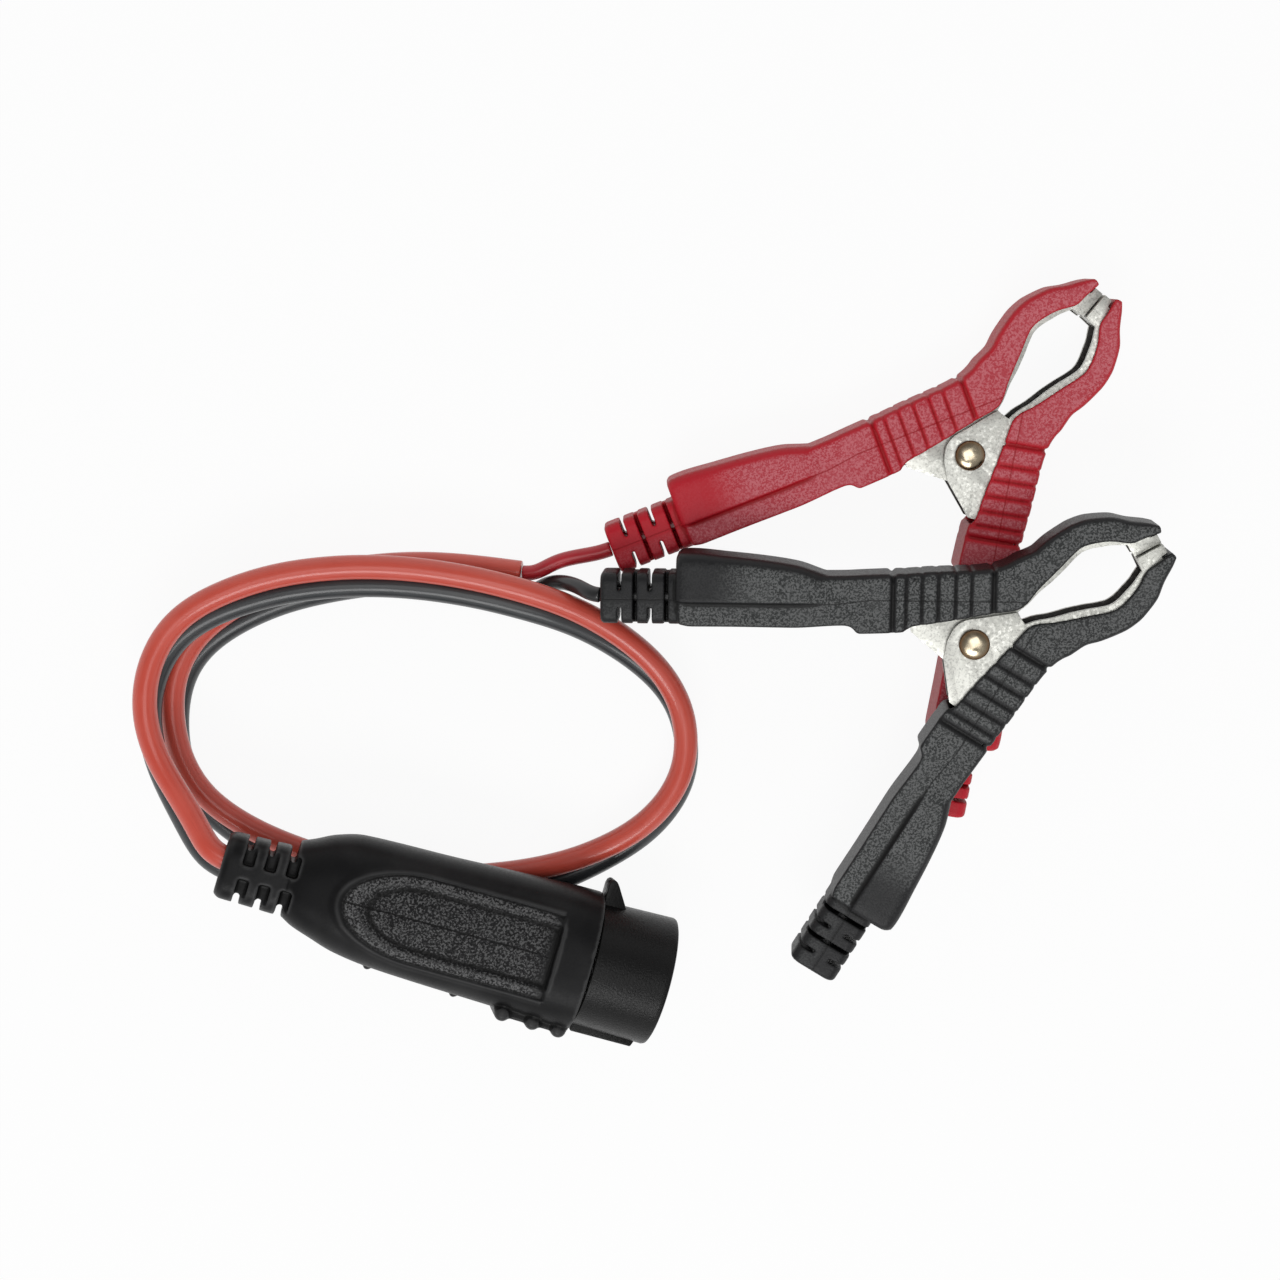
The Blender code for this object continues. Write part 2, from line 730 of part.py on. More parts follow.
def add_empty(name, location, parent=None):
    empty = bpy.data.objects.new(name, None)
    bpy.context.scene.collection.objects.link(empty)
    empty.parent = parent
    empty.location = [value * MM for value in location]
    return empty


def make_clamp(colour, look, pivot, yaw, tilt):
    """One clamp: the wired upper half stays with the lead, the lower half turns on the rivet."""
    frame = add_empty(f"{colour}_clamp_frame", layout_point(pivot))
    frame.rotation_euler = (Matrix.Rotation(tilt, 3, "Y") @ Matrix.Rotation(yaw, 3, "Z")).to_euler()
    hinge = add_empty(f"{colour}_clamp_hinge", (0, 0, 0), frame)
    fixed = [
        make_sleeve(f"{colour}_upper_sleeve", UPPER, look),
        make_jaw(f"{colour}_upper_jaw", UPPER),
        make_rivet(f"{colour}_rivet"),
        make_spring(f"{colour}_spring"),
        make_crimp(f"{colour}_crimp"),
        make_inner_wire(f"{colour}_inner_wire", look),
    ]
    moving = [
        make_sleeve(f"{colour}_lower_sleeve", LOWER, look),
        make_jaw(f"{colour}_lower_jaw", LOWER),
    ]
    for item in fixed:
        item.parent = frame
    for item in moving:
        item.parent = hinge
    return frame


def plug_ring(x, hook_side, ridge_side, thick, sides=ROUND_SIDES, power=2.5):
    """Full oval section across the plug's axis."""
    ring = []
    for step in range(sides):
        angle = math.tau * step / sides
        c, s = math.cos(angle), math.sin(angle)
        y = math.copysign(abs(c) ** (2 / power), c) * (hook_side if c > 0 else ridge_side)
        z = math.copysign(abs(s) ** (2 / power), s) * thick
        ring.append(Vector((x, y, z)))
    return ring


def recess_outline():
    """Grip recess seen from above: round at the back, straight at the front."""
    arc = RECESS_HALF * 1.9
    centre = RECESS_BACK + arc
    points = []
    for step in range(9):
        angle = math.pi / 2 + math.pi * step / 8
        points.append((centre + arc * math.cos(angle), RECESS_HALF * math.sin(angle)))
    points += [(RECESS_FRONT - 1.5, -RECESS_HALF), (RECESS_FRONT, -RECESS_HALF + 2.0)]
    points += [(RECESS_FRONT, RECESS_HALF - 2.0), (RECESS_FRONT - 1.5, RECESS_HALF)]
    return points


def make_grip_cutter(upward):
    """Outer shell of the recess: the prism over the oval less the sunk floor of the grip."""
    low, high = (2.0, 20.0) if upward > 0 else (-20.0, -2.0)
    cutter = prism("cutter", recess_outline(), low, high)
    rings = []
    for x, hook_side, ridge_side, thick in PLUG_SECTIONS[1:]:
        rings.append(plug_ring(x, hook_side - RECESS_DEPTH, ridge_side - RECESS_DEPTH, thick - RECESS_DEPTH))
    cut(cutter, loft("floor", rings))
    return cutter


def plug_axis_bar(name, radius, x_low, x_high, y, z, sides):
    turn = Matrix.Rotation(math.pi / 2, 4, "Y")
    matrix = Matrix.Translation((0, y, z)) @ turn
    return turned(name, [(radius, x_low), (radius, x_high)], sides, matrix)


def pair_offsets():
    """Places of the two conductors across the plug's axis, as the rolled pair leaves it."""
    side = PAIR_ROLL_SIDE / 2
    rise = math.sqrt(PAIR_SPACING ** 2 - PAIR_ROLL_SIDE ** 2) / 2
    return (side, rise), (-side, -rise)


def rolled(y, z):
    """Undo the plug's roll, so that the pair keeps its world roll."""
    turn = -PLUG_ROLL
    return y * math.cos(turn) - z * math.sin(turn), y * math.sin(turn) + z * math.cos(turn)


def ridge_profile():
    """Finger ridge along z: a bar with tapered ends."""
    tip, full = 0.6 * RIDGE_RADIUS, RIDGE_HALF - 1.0
    return [(tip, -RIDGE_HALF), (RIDGE_RADIUS, -full), (RIDGE_RADIUS, full), (tip, RIDGE_HALF)]


def cut_plug_slots(body):
    """Cross slots in both edges of the plug's strain relief."""
    floor = PLUG_RELIEF_SECTIONS[2][1] - PLUG_RELIEF_DEPTH
    for x in PLUG_RELIEF_SLOTS:
        low, high = x - PLUG_RELIEF_SLOT / 2, x + PLUG_RELIEF_SLOT / 2
        cut(body, box("cutter", (low, floor, -9), (high, 9, 9)))
        cut(body, box("cutter", (low, -9, -9), (high, -floor, 9)))


def make_plug_body(frame):
    body = loft("plug_body", [plug_ring(*row) for row in PLUG_SECTIONS])
    relief = loft("relief", [plug_ring(x, w, w, t, 20, 3.2) for x, w, t in PLUG_RELIEF_SECTIONS])
    join(body, relief)
    cut_plug_slots(body)
    for x, y in FINGER_RIDGES:
        join(body, turned("ridge", ridge_profile(), 12, Matrix.Translation((x, -y, 0))))
    for upward in (1, -1):
        cut(body, make_grip_cutter(upward))
    bore = SHEATH_DIAMETER / 2 + WIRE_GAP
    depth = CORE_LENGTH + WIRE_GAP
    for offset in pair_offsets():
        y, z = rolled(*offset)
        cut(body, plug_axis_bar("cutter", bore, -PLUG_LENGTH - 2, -PLUG_LENGTH + depth, y, z, 12))
    body = dress(body, "plug_body", SOFT_BLACK, 35)
    body.parent = frame
    return body


def make_plug_shroud(frame):
    """Round shell with a floor, the snap hook and the guide rail."""
    back = JOINT_X + FIT_GAP
    neck = SHROUD_NECK
    inside = SHROUD_RADIUS - SHROUD_WALL
    turn = Matrix.Rotation(math.pi / 2, 4, "Y")
    outer = [(neck, back), (SHROUD_RADIUS, -0.6), (SHROUD_RADIUS, 0.0)]
    shroud = turned("shroud", outer, ROUND_SIDES, turn)
    root = SHROUD_RADIUS - 1.0
    hook = [
        (back, root),
        (back, HOOK_PEAK - 0.4),
        (back + 0.5, HOOK_PEAK),
        (back + 1.6, HOOK_PEAK),
        (back + HOOK_LENGTH, root),
    ]
    join(shroud, prism("hook", hook, -HOOK_HALF, HOOK_HALF))
    rail = [(back + 0.4, -root), (back + 0.8, -RAIL_PEAK), (-2.2, -RAIL_PEAK), (-1.4, -root)]
    join(shroud, prism("rail", rail, -RAIL_HALF, RAIL_HALF))
    cut(shroud, turned("cutter", [(inside, back + SHROUD_FLOOR), (inside, 1.0)], ROUND_SIDES, turn))
    shroud = dress(shroud, "plug_shroud", GLOSS_BLACK, 35)
    shroud.parent = frame
    return shroud


def make_plug_insert(frame):
    radius = SHROUD_RADIUS - SHROUD_WALL - FIT_GAP
    back = JOINT_X + FIT_GAP + SHROUD_FLOOR + FIT_GAP
    turn = Matrix.Rotation(math.pi / 2, 4, "Y")
    profile = [(radius, back), (radius, -INSERT_DEPTH - 0.5), (radius - 0.5, -INSERT_DEPTH)]
    insert = turned("insert", profile, ROUND_SIDES, turn)
    for y, contact in ((CONTACT_OFFSET, SOCKET_RADIUS), (-CONTACT_OFFSET, PIN_RADIUS)):
        cut(insert, plug_axis_bar("cutter", contact + FIT_GAP, back - 1, 0, y, 0, 16))
    insert = dress(insert, "plug_insert", SOFT_BLACK, 35)
    insert.parent = frame
    return insert


def make_contacts(frame):
    """A solid pin for the black pole and a drilled socket for the red one."""
    back = JOINT_X + FIT_GAP + SHROUD_FLOOR + FIT_GAP
    turn = Matrix.Rotation(math.pi / 2, 4, "Y")
    place = Matrix.Translation((0, -CONTACT_OFFSET, 0)) @ turn
    taper = 0.8
    profile = [(PIN_RADIUS, back), (PIN_RADIUS, -CONTACT_REACH - taper), (PIN_RADIUS - taper, -CONTACT_REACH)]
    pin = turned("pin", profile, 16, place)
    pin = dress(pin, "plug_pin", TINNED, 35)
    socket = plug_axis_bar("socket", SOCKET_RADIUS, back, -CONTACT_REACH, CONTACT_OFFSET, 0, 16)
    drill = -CONTACT_REACH - SOCKET_DEPTH
    cut(socket, plug_axis_bar("cutter", SOCKET_BORE, drill, 0, CONTACT_OFFSET, 0, 12))
    socket = dress(socket, "plug_socket", TINNED, 35)
    for item in (pin, socket):
        item.parent = frame


def make_cores(frame):
    """The sheathed conductors inside the plug's strain relief."""
    names = ("plug_red_core", "plug_black_core")
    for name, look, offset in zip(names, (CABLE_RED, CABLE_BLACK), pair_offsets()):
        y, z = rolled(*offset)
        core = plug_axis_bar(name, SHEATH_DIAMETER / 2, -PLUG_LENGTH, -PLUG_LENGTH + CORE_LENGTH, y, z, 12)
        dress(core, name, look, 35).parent = frame


def make_plug():
    lift = SHROUD_RADIUS * math.cos(PLUG_PITCH)
    frame = add_empty("plug_frame", layout_point((*PLUG_MOUTH, lift)))
    tipped = Matrix.Rotation(PLUG_PITCH, 3, "Y") @ Matrix.Rotation(PLUG_ROLL, 3, "X")
    frame.rotation_euler = (Matrix.Rotation(PLUG_YAW, 3, "Z") @ tipped).to_euler()
    make_plug_body(frame)
    make_plug_shroud(frame)
    make_plug_insert(frame)
    make_contacts(frame)
    make_cores(frame)
    return frame


def smooth_rows(rows, steps=12):
    """Dense points of the smooth curve through the rows, each row a tuple of numbers."""
    rows = [Vector(row) for row in rows]
    ends = [rows[0] * 2 - rows[1]] + rows + [rows[-1] * 2 - rows[-2]]
    dense = []
    for a, b, c, d in zip(ends, ends[1:], ends[2:], ends[3:]):
        for step in range(steps):
            t = step / steps
            point = b * 2 + (c - a) * t + (a * 2 - b * 5 + c * 4 - d) * t * t + (b * 3 - a - c * 3 + d) * t ** 3
            dense.append(point / 2)
    dense.append(rows[-1])
    return dense


def even_points(points, step):
    """Points at an even distance of about step along a dense line."""
    lengths = [0.0]
    for a, b in zip(points, points[1:]):
        lengths.append(lengths[-1] + (b - a).length)
    count = max(2, round(lengths[-1] / step))
    picked = []
    index = 0
    for number in range(count + 1):
        goal = lengths[-1] * number / count
        while index < len(points) - 2 and lengths[index + 1] < goal:
            index += 1
        span = lengths[index + 1] - lengths[index]
        picked.append(points[index].lerp(points[index + 1], (goal - lengths[index]) / span))
    return picked


def lead_points(route, step):
    """Even points through the route whose first and last runs stay straight."""
    count = 8
    dense = smooth_rows(route, count)
    return [dense[0], *even_points(dense[count:-count], step), dense[-1]]


def pair_knots():
    """Knots of both sheaths together, six numbers each, from the route's rows."""
    knots = []
    last = len(CABLE_ROUTE) - 1
    for i, (x, y, low, side) in enumerate(CABLE_ROUTE):
        before, after = CABLE_ROUTE[max(i - 1, 0)], CABLE_ROUTE[min(i + 1, last)]
        run = math.dist(after[:2], before[:2])
        right = ((after[1] - before[1]) / run, (before[0] - after[0]) / run)
        rise = math.sqrt(PAIR_SPACING ** 2 - side ** 2)
        red = layout_point((x, y, low + rise))
        black = layout_point((x + side * right[0], y + side * right[1], low))
        knots.append((*red, *black))
    return knots


def plug_start(frame, offset, run):
    """Start of a sheath just outside the plug, run mm behind its end face."""
    y, z = rolled(*offset)
    return frame.matrix_world @ (Vector((-PLUG_LENGTH - run, y, z)) * MM) / MM


def sheath_lines(plug):
    """Points of the red and the black sheath at shared stations, so that they keep their spacing."""
    starts = []
    for run in (FIT_GAP, SHEATH_LEAD):
        red, black = (plug_start(plug, offset, run) for offset in pair_offsets())
        starts.append((*red, *black))
    ends = [layout_point(point) for point in SHEATH_ENDS]
    route = starts + pair_knots() + [(*ends[0], *ends[1])]
    pairs = lead_points(route, SHEATH_STEP * math.sqrt(2))
    return [Vector(pair[:3]) for pair in pairs], [Vector(pair[3:]) for pair in pairs]


def wire_line(sheath, passed, clamp):
    """Points of a thin wire from its sheath's end face to the clamp's strain relief."""
    heading = (sheath[-1] - sheath[-2]).normalized()
    route = [sheath[-1] + heading * FIT_GAP, sheath[-1] + heading * WIRE_LEAD]
    route += [layout_point(point) for point in passed]
    for run in (WIRE_LEAD, FIT_GAP):
        end = handle_point(RELIEF_END + run, RELIEF_AXIS)
        route.append(clamp.matrix_world @ (Vector((end.x, end.y, 0)) * MM) / MM)
    return lead_points(route, WIRE_STEP)


def make_cable(plug, clamps):
    bpy.context.view_layer.update()
    names = ("red", "black")
    looks = ((CABLE_RED, CRIMSON), (CABLE_BLACK, CHARCOAL))
    for name, line, look, passed, clamp in zip(names, sheath_lines(plug), looks, WIRE_ROUTES, clamps):
        make_tube(f"{name}_sheath", line, SHEATH_DIAMETER, 3, look[0])
        make_tube(f"{name}_wire", wire_line(line, passed, clamp), WIRE_DIAMETER, 2, look[1])


def build():
    clear_scene()
    red = make_clamp("red", CRIMSON, RED_PIVOT, RED_YAW, 0.0)
    black = make_clamp("black", CHARCOAL, BLACK_PIVOT, BLACK_YAW, BLACK_TILT)
    plug = make_plug()
    make_cable(plug, (red, black))


build()
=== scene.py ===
"""Battery charger clamp lead: moulded handles, steel jaws, springs, plug, cables and studio.

Shapes are drawn in millimetres. A clamp half lies on its handle line: s runs back from the rivet,
o runs outward. The plug's own x runs along its axis, 0 at the open end.
"""

import math

import bmesh
import bpy
import numpy as np
from mathutils import Matrix, Vector


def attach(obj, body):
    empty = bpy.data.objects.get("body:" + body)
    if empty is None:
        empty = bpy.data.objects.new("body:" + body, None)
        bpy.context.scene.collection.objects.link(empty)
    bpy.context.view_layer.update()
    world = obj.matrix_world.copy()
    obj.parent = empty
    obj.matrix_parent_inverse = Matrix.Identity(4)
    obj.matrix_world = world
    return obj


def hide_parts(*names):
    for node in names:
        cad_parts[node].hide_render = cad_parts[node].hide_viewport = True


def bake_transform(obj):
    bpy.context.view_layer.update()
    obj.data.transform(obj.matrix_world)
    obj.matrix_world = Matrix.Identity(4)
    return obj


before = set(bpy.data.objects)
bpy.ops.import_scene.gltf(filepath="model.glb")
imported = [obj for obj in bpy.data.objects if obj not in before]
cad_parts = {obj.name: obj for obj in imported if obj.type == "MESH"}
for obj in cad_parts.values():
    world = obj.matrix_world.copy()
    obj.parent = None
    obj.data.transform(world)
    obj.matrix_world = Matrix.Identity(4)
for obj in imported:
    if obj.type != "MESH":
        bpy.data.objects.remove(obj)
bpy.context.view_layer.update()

MM = 0.001
UPPER, LOWER = 1, -1
FIT_GAP = 0.3
LAYOUT = Vector((8.755, -5.333, 0.0))
LEAD = "lead"

# Clamp handles, jaws and strain reliefs
HANDLE_ANGLE = math.radians(29.5)
SLEEVE_HALF = 5.5
SLEEVE_WALL = 1.2
SLEEVE_EDGE = 1.4
INNER_EDGE = 0.5
HANDLE_FLOOR = 4.6
HANDLE_TOP = 12.95
SLEEVE_VOXEL, PLUG_VOXEL = 0.29, 0.3
CHANNEL_START = 13.0
CHANNEL_BACK = 31.0
TIP_WALL = 1.0
GROOVE_DEPTH = 0.55
SEAM_AXIS = 8.4
GROOVES = ((13.2, 0.6), (10.2, 0.6), (7.1, 0.6), (3.8, 0.6), (0.8, 0.6), (15.7, 1.1), (-3.4, 1.1))
POD_SEAM = 7.5
POD_EDGE = 2.4
HANDLE_END = 56.7
RELIEF_HALF = 5.0
RELIEF_EDGE = 2.0
RELIEF_END = 71.9
RELIEF_AXIS = 8.0
RELIEF_SPINE = 3.1
RELIEF_SLOT = 0.75
SHEET = 1.0
JAW_HALF = 3.7
JAW_BACK = 24.7
JAW_PROUD = ((-29.0, 0.5), (-24.0, 1.1), (-14.0, 1.1), (-9.0, 0.5))
EAR_RADIUS = 4.9
NOSE_BACK = 34.4
NOSE_FRONT = 40.0
SHANK_RADIUS = 1.7
HEAD_RADIUS = 2.95
HEAD_RISE = 1.4
SPRING_WIRE = 0.8
SPRING_RADIUS = 2.6
SPRING_PITCH = 1.42

# Handle and jaw sections: inner point and outer point on the handle line
HANDLE_ROWS = (
    (56.7, 3.2, 13.1), (54.5, 2.8, 13.0), (46.0, 2.85, 12.9), (35.0, 2.8, 12.85), (25.0, 3.35, 12.95),
    (23.7, 3.1, 13.0), (22.2, 1.8, 13.1), (17.5, 1.95, 13.35), (13.8, 2.2, 13.5), (12.0, 3.3, 13.6),
    (8.6, 3.85, 13.9), (5.4, 4.4, 14.05), (2.2, 4.95, 14.2), (-1.0, 5.6, 14.4),
)
JAW_ROWS = (
    (-4.6, 6.2, -4.4, 15.0), (-8.0, 6.8, -6.4, 15.8), (-9.4, 7.7, -7.8, 16.7), (-11.7, 10.6, -9.2, 17.3),
    (-14.1, 13.2, -10.9, 18.1), (-16.2, 15.4, -13.0, 20.0), (-18.0, 17.4, -15.6, 21.9),
    (-19.7, 18.9, -17.9, 23.3), (-22.0, 19.7, -21.3, 24.4), (-25.3, 20.1, -25.2, 24.7),
    (-28.8, 19.8, -28.9, 24.0), (-31.6, 20.9, -31.9, 23.7), (-34.4, 21.9, -34.1, 23.2),
)
POD_ROWS = (
    (26.5, 12.4, 5.1), (29.5, 13.4, 5.75), (33.5, 14.7, 6.15), (40.0, 15.7, 6.3),
    (47.0, 16.4, 6.3), (54.5, 17.0, 6.3), (56.4, 16.9, 6.1), (57.2, 16.2, 5.6),
)

# Plug: x, half width on the hook side, half width on the ridge side, half thickness
PLUG_ROWS = (
    (-76.7, 8.3, 6.9, 7.2), (-74.3, 9.3, 8.2, 8.0), (-70.4, 11.2, 9.5, 8.8), (-65.0, 12.6, 11.1, 9.7),
    (-58.0, 12.9, 12.1, 10.2), (-48.0, 13.1, 12.7, 10.3), (-38.0, 13.5, 13.1, 10.5),
    (-28.0, 13.9, 13.5, 10.8), (-20.5, 14.2, 13.9, 12.0), (-16.0, 14.2, 14.0, 13.0),
)
PLUG_RELIEF_ROWS = (
    (-90.5, 5.8, 5.9), (-89.3, 6.6, 6.4), (-84.0, 6.7, 6.6), (-78.0, 6.9, 6.8), (-73.0, 7.0, 6.9),
)
PLUG_BACK = -90.5
PLUG_RIB_STEP = 4.3
JOINT_X = -16.0
SHROUD_RADIUS = 13.0
SHROUD_NECK = 12.6
SHROUD_BORE = 11.2
INSERT_FACE = -9.0
CONTACT_OFFSET = 5.2
PIN_RADIUS, SOCKET_RADIUS, SOCKET_BORE = 1.5, 2.75, 1.6
PLUG_HEADING, PLUG_PITCH, PLUG_ROLL = 17.5, 5.6, 11.25
RECESS_BACK, RECESS_FRONT, RECESS_HALF = -66.5, -23.0, 8.8
RECESS_DEPTH = 1.5

# Cable
SHEATH = 4.8
WIRE = 3.0
PAIR_ROLL_SIDE = 3.0
PAIR_SPACING = SHEATH + FIT_GAP
CABLE_ROUTE = (
    (-85.9, -35.5, 17.9, -2.9), (-90.5, -28.5, 15.4, -2.6), (-95.2, -20.9, 13.2, -1.5),
    (-97.4, -11.5, 12.0, 0.0), (-95.3, -1.3, 11.8, 1.5), (-89.0, 7.0, 11.8, 3.0), (-75.5, 13.1, 11.6, 3.8),
    (-61.3, 15.6, 11.3, 4.0), (-46.9, 15.6, 10.9, 4.0), (-32.4, 13.5, 10.6, 3.9), (-20.6, 10.3, 9.8, 3.8),
    (-12.6, 7.1, 8.0, 3.5), (-5.2, 2.6, 5.8, 3.1), (2.3, -3.7, 3.9, 2.5), (7.8, -11.8, 2.6, 1.2),
    (9.5, -21.2, 2.45, -0.1), (7.3, -30.0, 2.45, -1.5), (0.4, -38.2, 2.45, -2.4),
    (-10.0, -44.0, 2.45, -3.2), (-19.5, -47.2, 2.45, -4.3), (-29.0, -49.3, 2.45, -5.09),
    (-42.0, -50.0, 2.45, -5.09), (-55.0, -48.5, 2.45, -5.05), (-67.5, -44.3, 2.45, -4.7),
    (-78.4, -39.2, 2.45, -3.7), (-87.6, -32.4, 2.45, -2.8), (-92.4, -24.0, 2.45, -1.4),
    (-93.9, -14.0, 2.45, 0.1), (-92.6, -5.5, 2.45, 1.4), (-87.0, 2.7, 2.45, 2.9), (-75.4, 9.7, 2.45, 3.7),
    (-62.8, 13.4, 2.45, 4.0), (-47.8, 15.3, 2.45, 4.0), (-35.8, 15.0, 2.7, 4.0),
)
SHEATH_ENDS = ((-23.6, 13.7, 7.1), (-24.0, 9.3, 3.9))
WIRE_ROUTES = (
    ((-16.5, 16.0, 7.3), (-10.5, 17.2, 6.8)),
    ((-19.8, 10.7, 5.0), (-16.5, 12.0, 8.0), (-13.2, 12.1, 12.0), (-10.4, 11.2, 14.8)),
)

# Studio: how white the floor is to the camera
FLOOR_GLOW = 0.93


def placed(point, *turns):
    """Matrix from a piece's own millimetres to the part's metres."""
    matrix = Matrix.Scale(MM, 4) @ Matrix.Translation(Vector(point) - LAYOUT)
    for degrees, axis in turns:
        matrix = matrix @ Matrix.Rotation(math.radians(degrees), 4, axis)
    return matrix


CLAMP_PLACES = {
    "red": placed((64.4, 37.3, 6.3), (50.9, "Z")),
    "black": placed((64.3, 2.4, 20.9), (-4.0, "Y"), (29.4, "Z")),
}
PLUG_LIFT = SHROUD_RADIUS * math.cos(math.radians(PLUG_PITCH))
PLUG_PLACE = placed((3.8, -68.8, PLUG_LIFT), (-PLUG_HEADING, "Z"), (PLUG_PITCH, "Y"), (-PLUG_ROLL, "X"))


# Shader maths

class Signal:
    """A shader socket that adds its maths nodes when Python works on it."""

    def __init__(self, finish, socket):
        self.finish = finish
        self.socket = socket

    def maths(self, operation, first, second=None):
        values = {i: v for i, v in enumerate((first, second)) if v is not None}
        return self.finish.node("ShaderNodeMath", {"operation": operation}, values)

    def __add__(self, other):
        return self.maths("ADD", self, other)

    __radd__ = __add__

    def __sub__(self, other):
        return self.maths("SUBTRACT", self, other)

    def __rsub__(self, other):
        return self.maths("SUBTRACT", other, self)

    def __mul__(self, other):
        return self.maths("MULTIPLY", self, other)

    __rmul__ = __mul__

    def __abs__(self):
        return self.maths("ABSOLUTE", self)

    def ramped(self, low, high, start=0.0, end=1.0):
        """Smooth rise from start to end while this runs from low to high."""
        values = {"Value": self, "From Min": low, "From Max": high, "To Min": start, "To Max": end}
        return self.finish.node("ShaderNodeMapRange", {"interpolation_type": "SMOOTHSTEP"}, values)


class Finish:
    """One material and the nodes that make its surface."""

    def __init__(self, name, colour, roughness=0.5, metallic=0.0, steady=None):
        self.material = bpy.data.materials.new(name)
        self.material.use_nodes = True
        self.tree = self.material.node_tree
        self.shader = self.tree.nodes["Principled BSDF"]
        self.set("Base Color", (*colour, 1.0))
        self.set("Roughness", roughness)
        self.set("Metallic", metallic)
        for socket, value in (steady or {}).items():
            self.set(socket, value)
        self.material.diffuse_color = (*colour, 1.0)

    def set(self, socket, value):
        target = self.shader.inputs[socket]
        if isinstance(value, Signal):
            self.tree.links.new(value.socket, target)
        else:
            target.default_value = value

    def node(self, kind, settings=None, values=None, output=0):
        made = self.tree.nodes.new(kind)
        for key, value in (settings or {}).items():
            setattr(made, key, value)
        for key, value in (values or {}).items():
            target = made.inputs[key]
            if isinstance(value, Signal):
                self.tree.links.new(value.socket, target)
            else:
                target.default_value = value
        return Signal(self, made.outputs[output])

    def place(self):
        return self.node("ShaderNodeTexCoord", output="Object")

    def along(self, scale):
        """Position on a cord, stretched along its length."""
        uv = self.node("ShaderNodeUVMap", {"uv_map": "run"})
        return self.node("ShaderNodeMapping", values={"Vector": uv, "Scale": scale})

    def mark(self, name):
        return self.node("ShaderNodeAttribute", {"attribute_name": name}, output="Fac")

    def noise(self, scale, detail=2.0, roughness=0.5, vector=None):
        values = {"Scale": scale, "Detail": detail, "Roughness": roughness, "Vector": vector or self.place()}
        return self.node("ShaderNodeTexNoise", values=values)

    def cells(self, scale, vector=None):
        values = {"Scale": scale, "Vector": vector or self.place()}
        return self.node("ShaderNodeTexVoronoi", {"feature": "SMOOTH_F1"}, values)

    def mixed(self, share, first, second):
        """Colour between two colours."""
        values = {0: share, 6: first, 7: second}
        for key in (6, 7):
            if not isinstance(values[key], Signal):
                values[key] = (*values[key], 1.0)
        return self.node("ShaderNodeMix", {"data_type": "RGBA"}, values, output=2)

    def bump(self, height, strength, distance, under=None):
        values = {"Height": height, "Strength": strength, "Distance": distance}
        if under:
            values["Normal"] = under
        return self.node("ShaderNodeBump", values=values)


def tone(colour, factor):
    return tuple(min(1.0, part * factor) for part in colour)


def moulded_plastic(name, rich, flat, pale, deep, roughness, gloss):
    """Moulded surface: smooth rich edges, painted shade on the sides, grain with a pale painted sheen on the
    flat faces, a parting seam in the deep colour, and painted shade in the hollows.
    """
    finish = Finish(name, rich, roughness, steady={"Specular IOR Level": gloss})
    grain = finish.noise(2500.0, 2.0, 0.7)
    patches = finish.noise(150.0, 3.0, 0.55)
    grain_and_sheen = finish.mark("flat")
    hollow_shade = finish.mark("hollow_shade")
    seam = finish.mark("face") * abs(finish.mark("seam")).ramped(0.07, 0.2, 1.0, 0.0)
    # Flat faces: grain towards the pale colour, which is painted sheen.
    sheened_grain = finish.mixed(grain.ramped(0.44, 0.57), flat, pale)
    sheened_grain = finish.mixed(patches.ramped(0.4, 0.7, 0.0, 0.2), sheened_grain, pale)
    smooth = finish.mixed(patches.ramped(0.35, 0.7, 0.0, 0.12), rich, flat)
    # Steep sides run towards the deep colour: painted shade.
    smooth = finish.mixed(finish.mark("side") * 0.6, smooth, deep)
    body = finish.mixed(grain_and_sheen, smooth, sheened_grain)
    # Hollows run towards the deep colour: painted shade.
    body = finish.mixed(hollow_shade.ramped(0.03, 0.5, 0.0, 0.9), body, deep)
    body = finish.mixed(seam * 0.7, body, deep)
    finish.set("Base Color", body)
    finish.set("Roughness", grain.ramped(0.3, 0.8, roughness - 0.05, roughness + 0.12) + grain_and_sheen * 0.08)
    finish.set("Normal", finish.bump(grain - seam * 0.4, 0.8, 0.0001))
    return finish.material


def cable_sheath(name, colour, pale, deep, roughness):
    """Extruded insulation: drawn lines along it, soft patches and a light bloom."""
    steady = {"Coat Weight": 0.4, "Coat Roughness": 0.15, "Specular IOR Level": 0.4}
    finish = Finish(name, colour, roughness, steady=steady)
    drawn = finish.noise(1.0, 2.0, 0.5, finish.along((60.0, 14.0, 1.0)))
    bloom = finish.noise(90.0, 3.0, 0.6)
    speck = finish.noise(1500.0, 2.0, 0.5)
    body = finish.mixed(bloom.ramped(0.35, 0.72, 0.0, 0.5), colour, pale)
    body = finish.mixed(drawn.ramped(0.5, 0.8, 0.0, 0.3), body, deep)
    finish.set("Base Color", body)
    finish.set("Roughness", bloom.ramped(0.3, 0.7, roughness - 0.06, roughness + 0.08))
    low = finish.bump(drawn, 0.25, 0.00006)
    finish.set("Normal", finish.bump(speck, 0.12, 0.00003, low))
    return finish.material


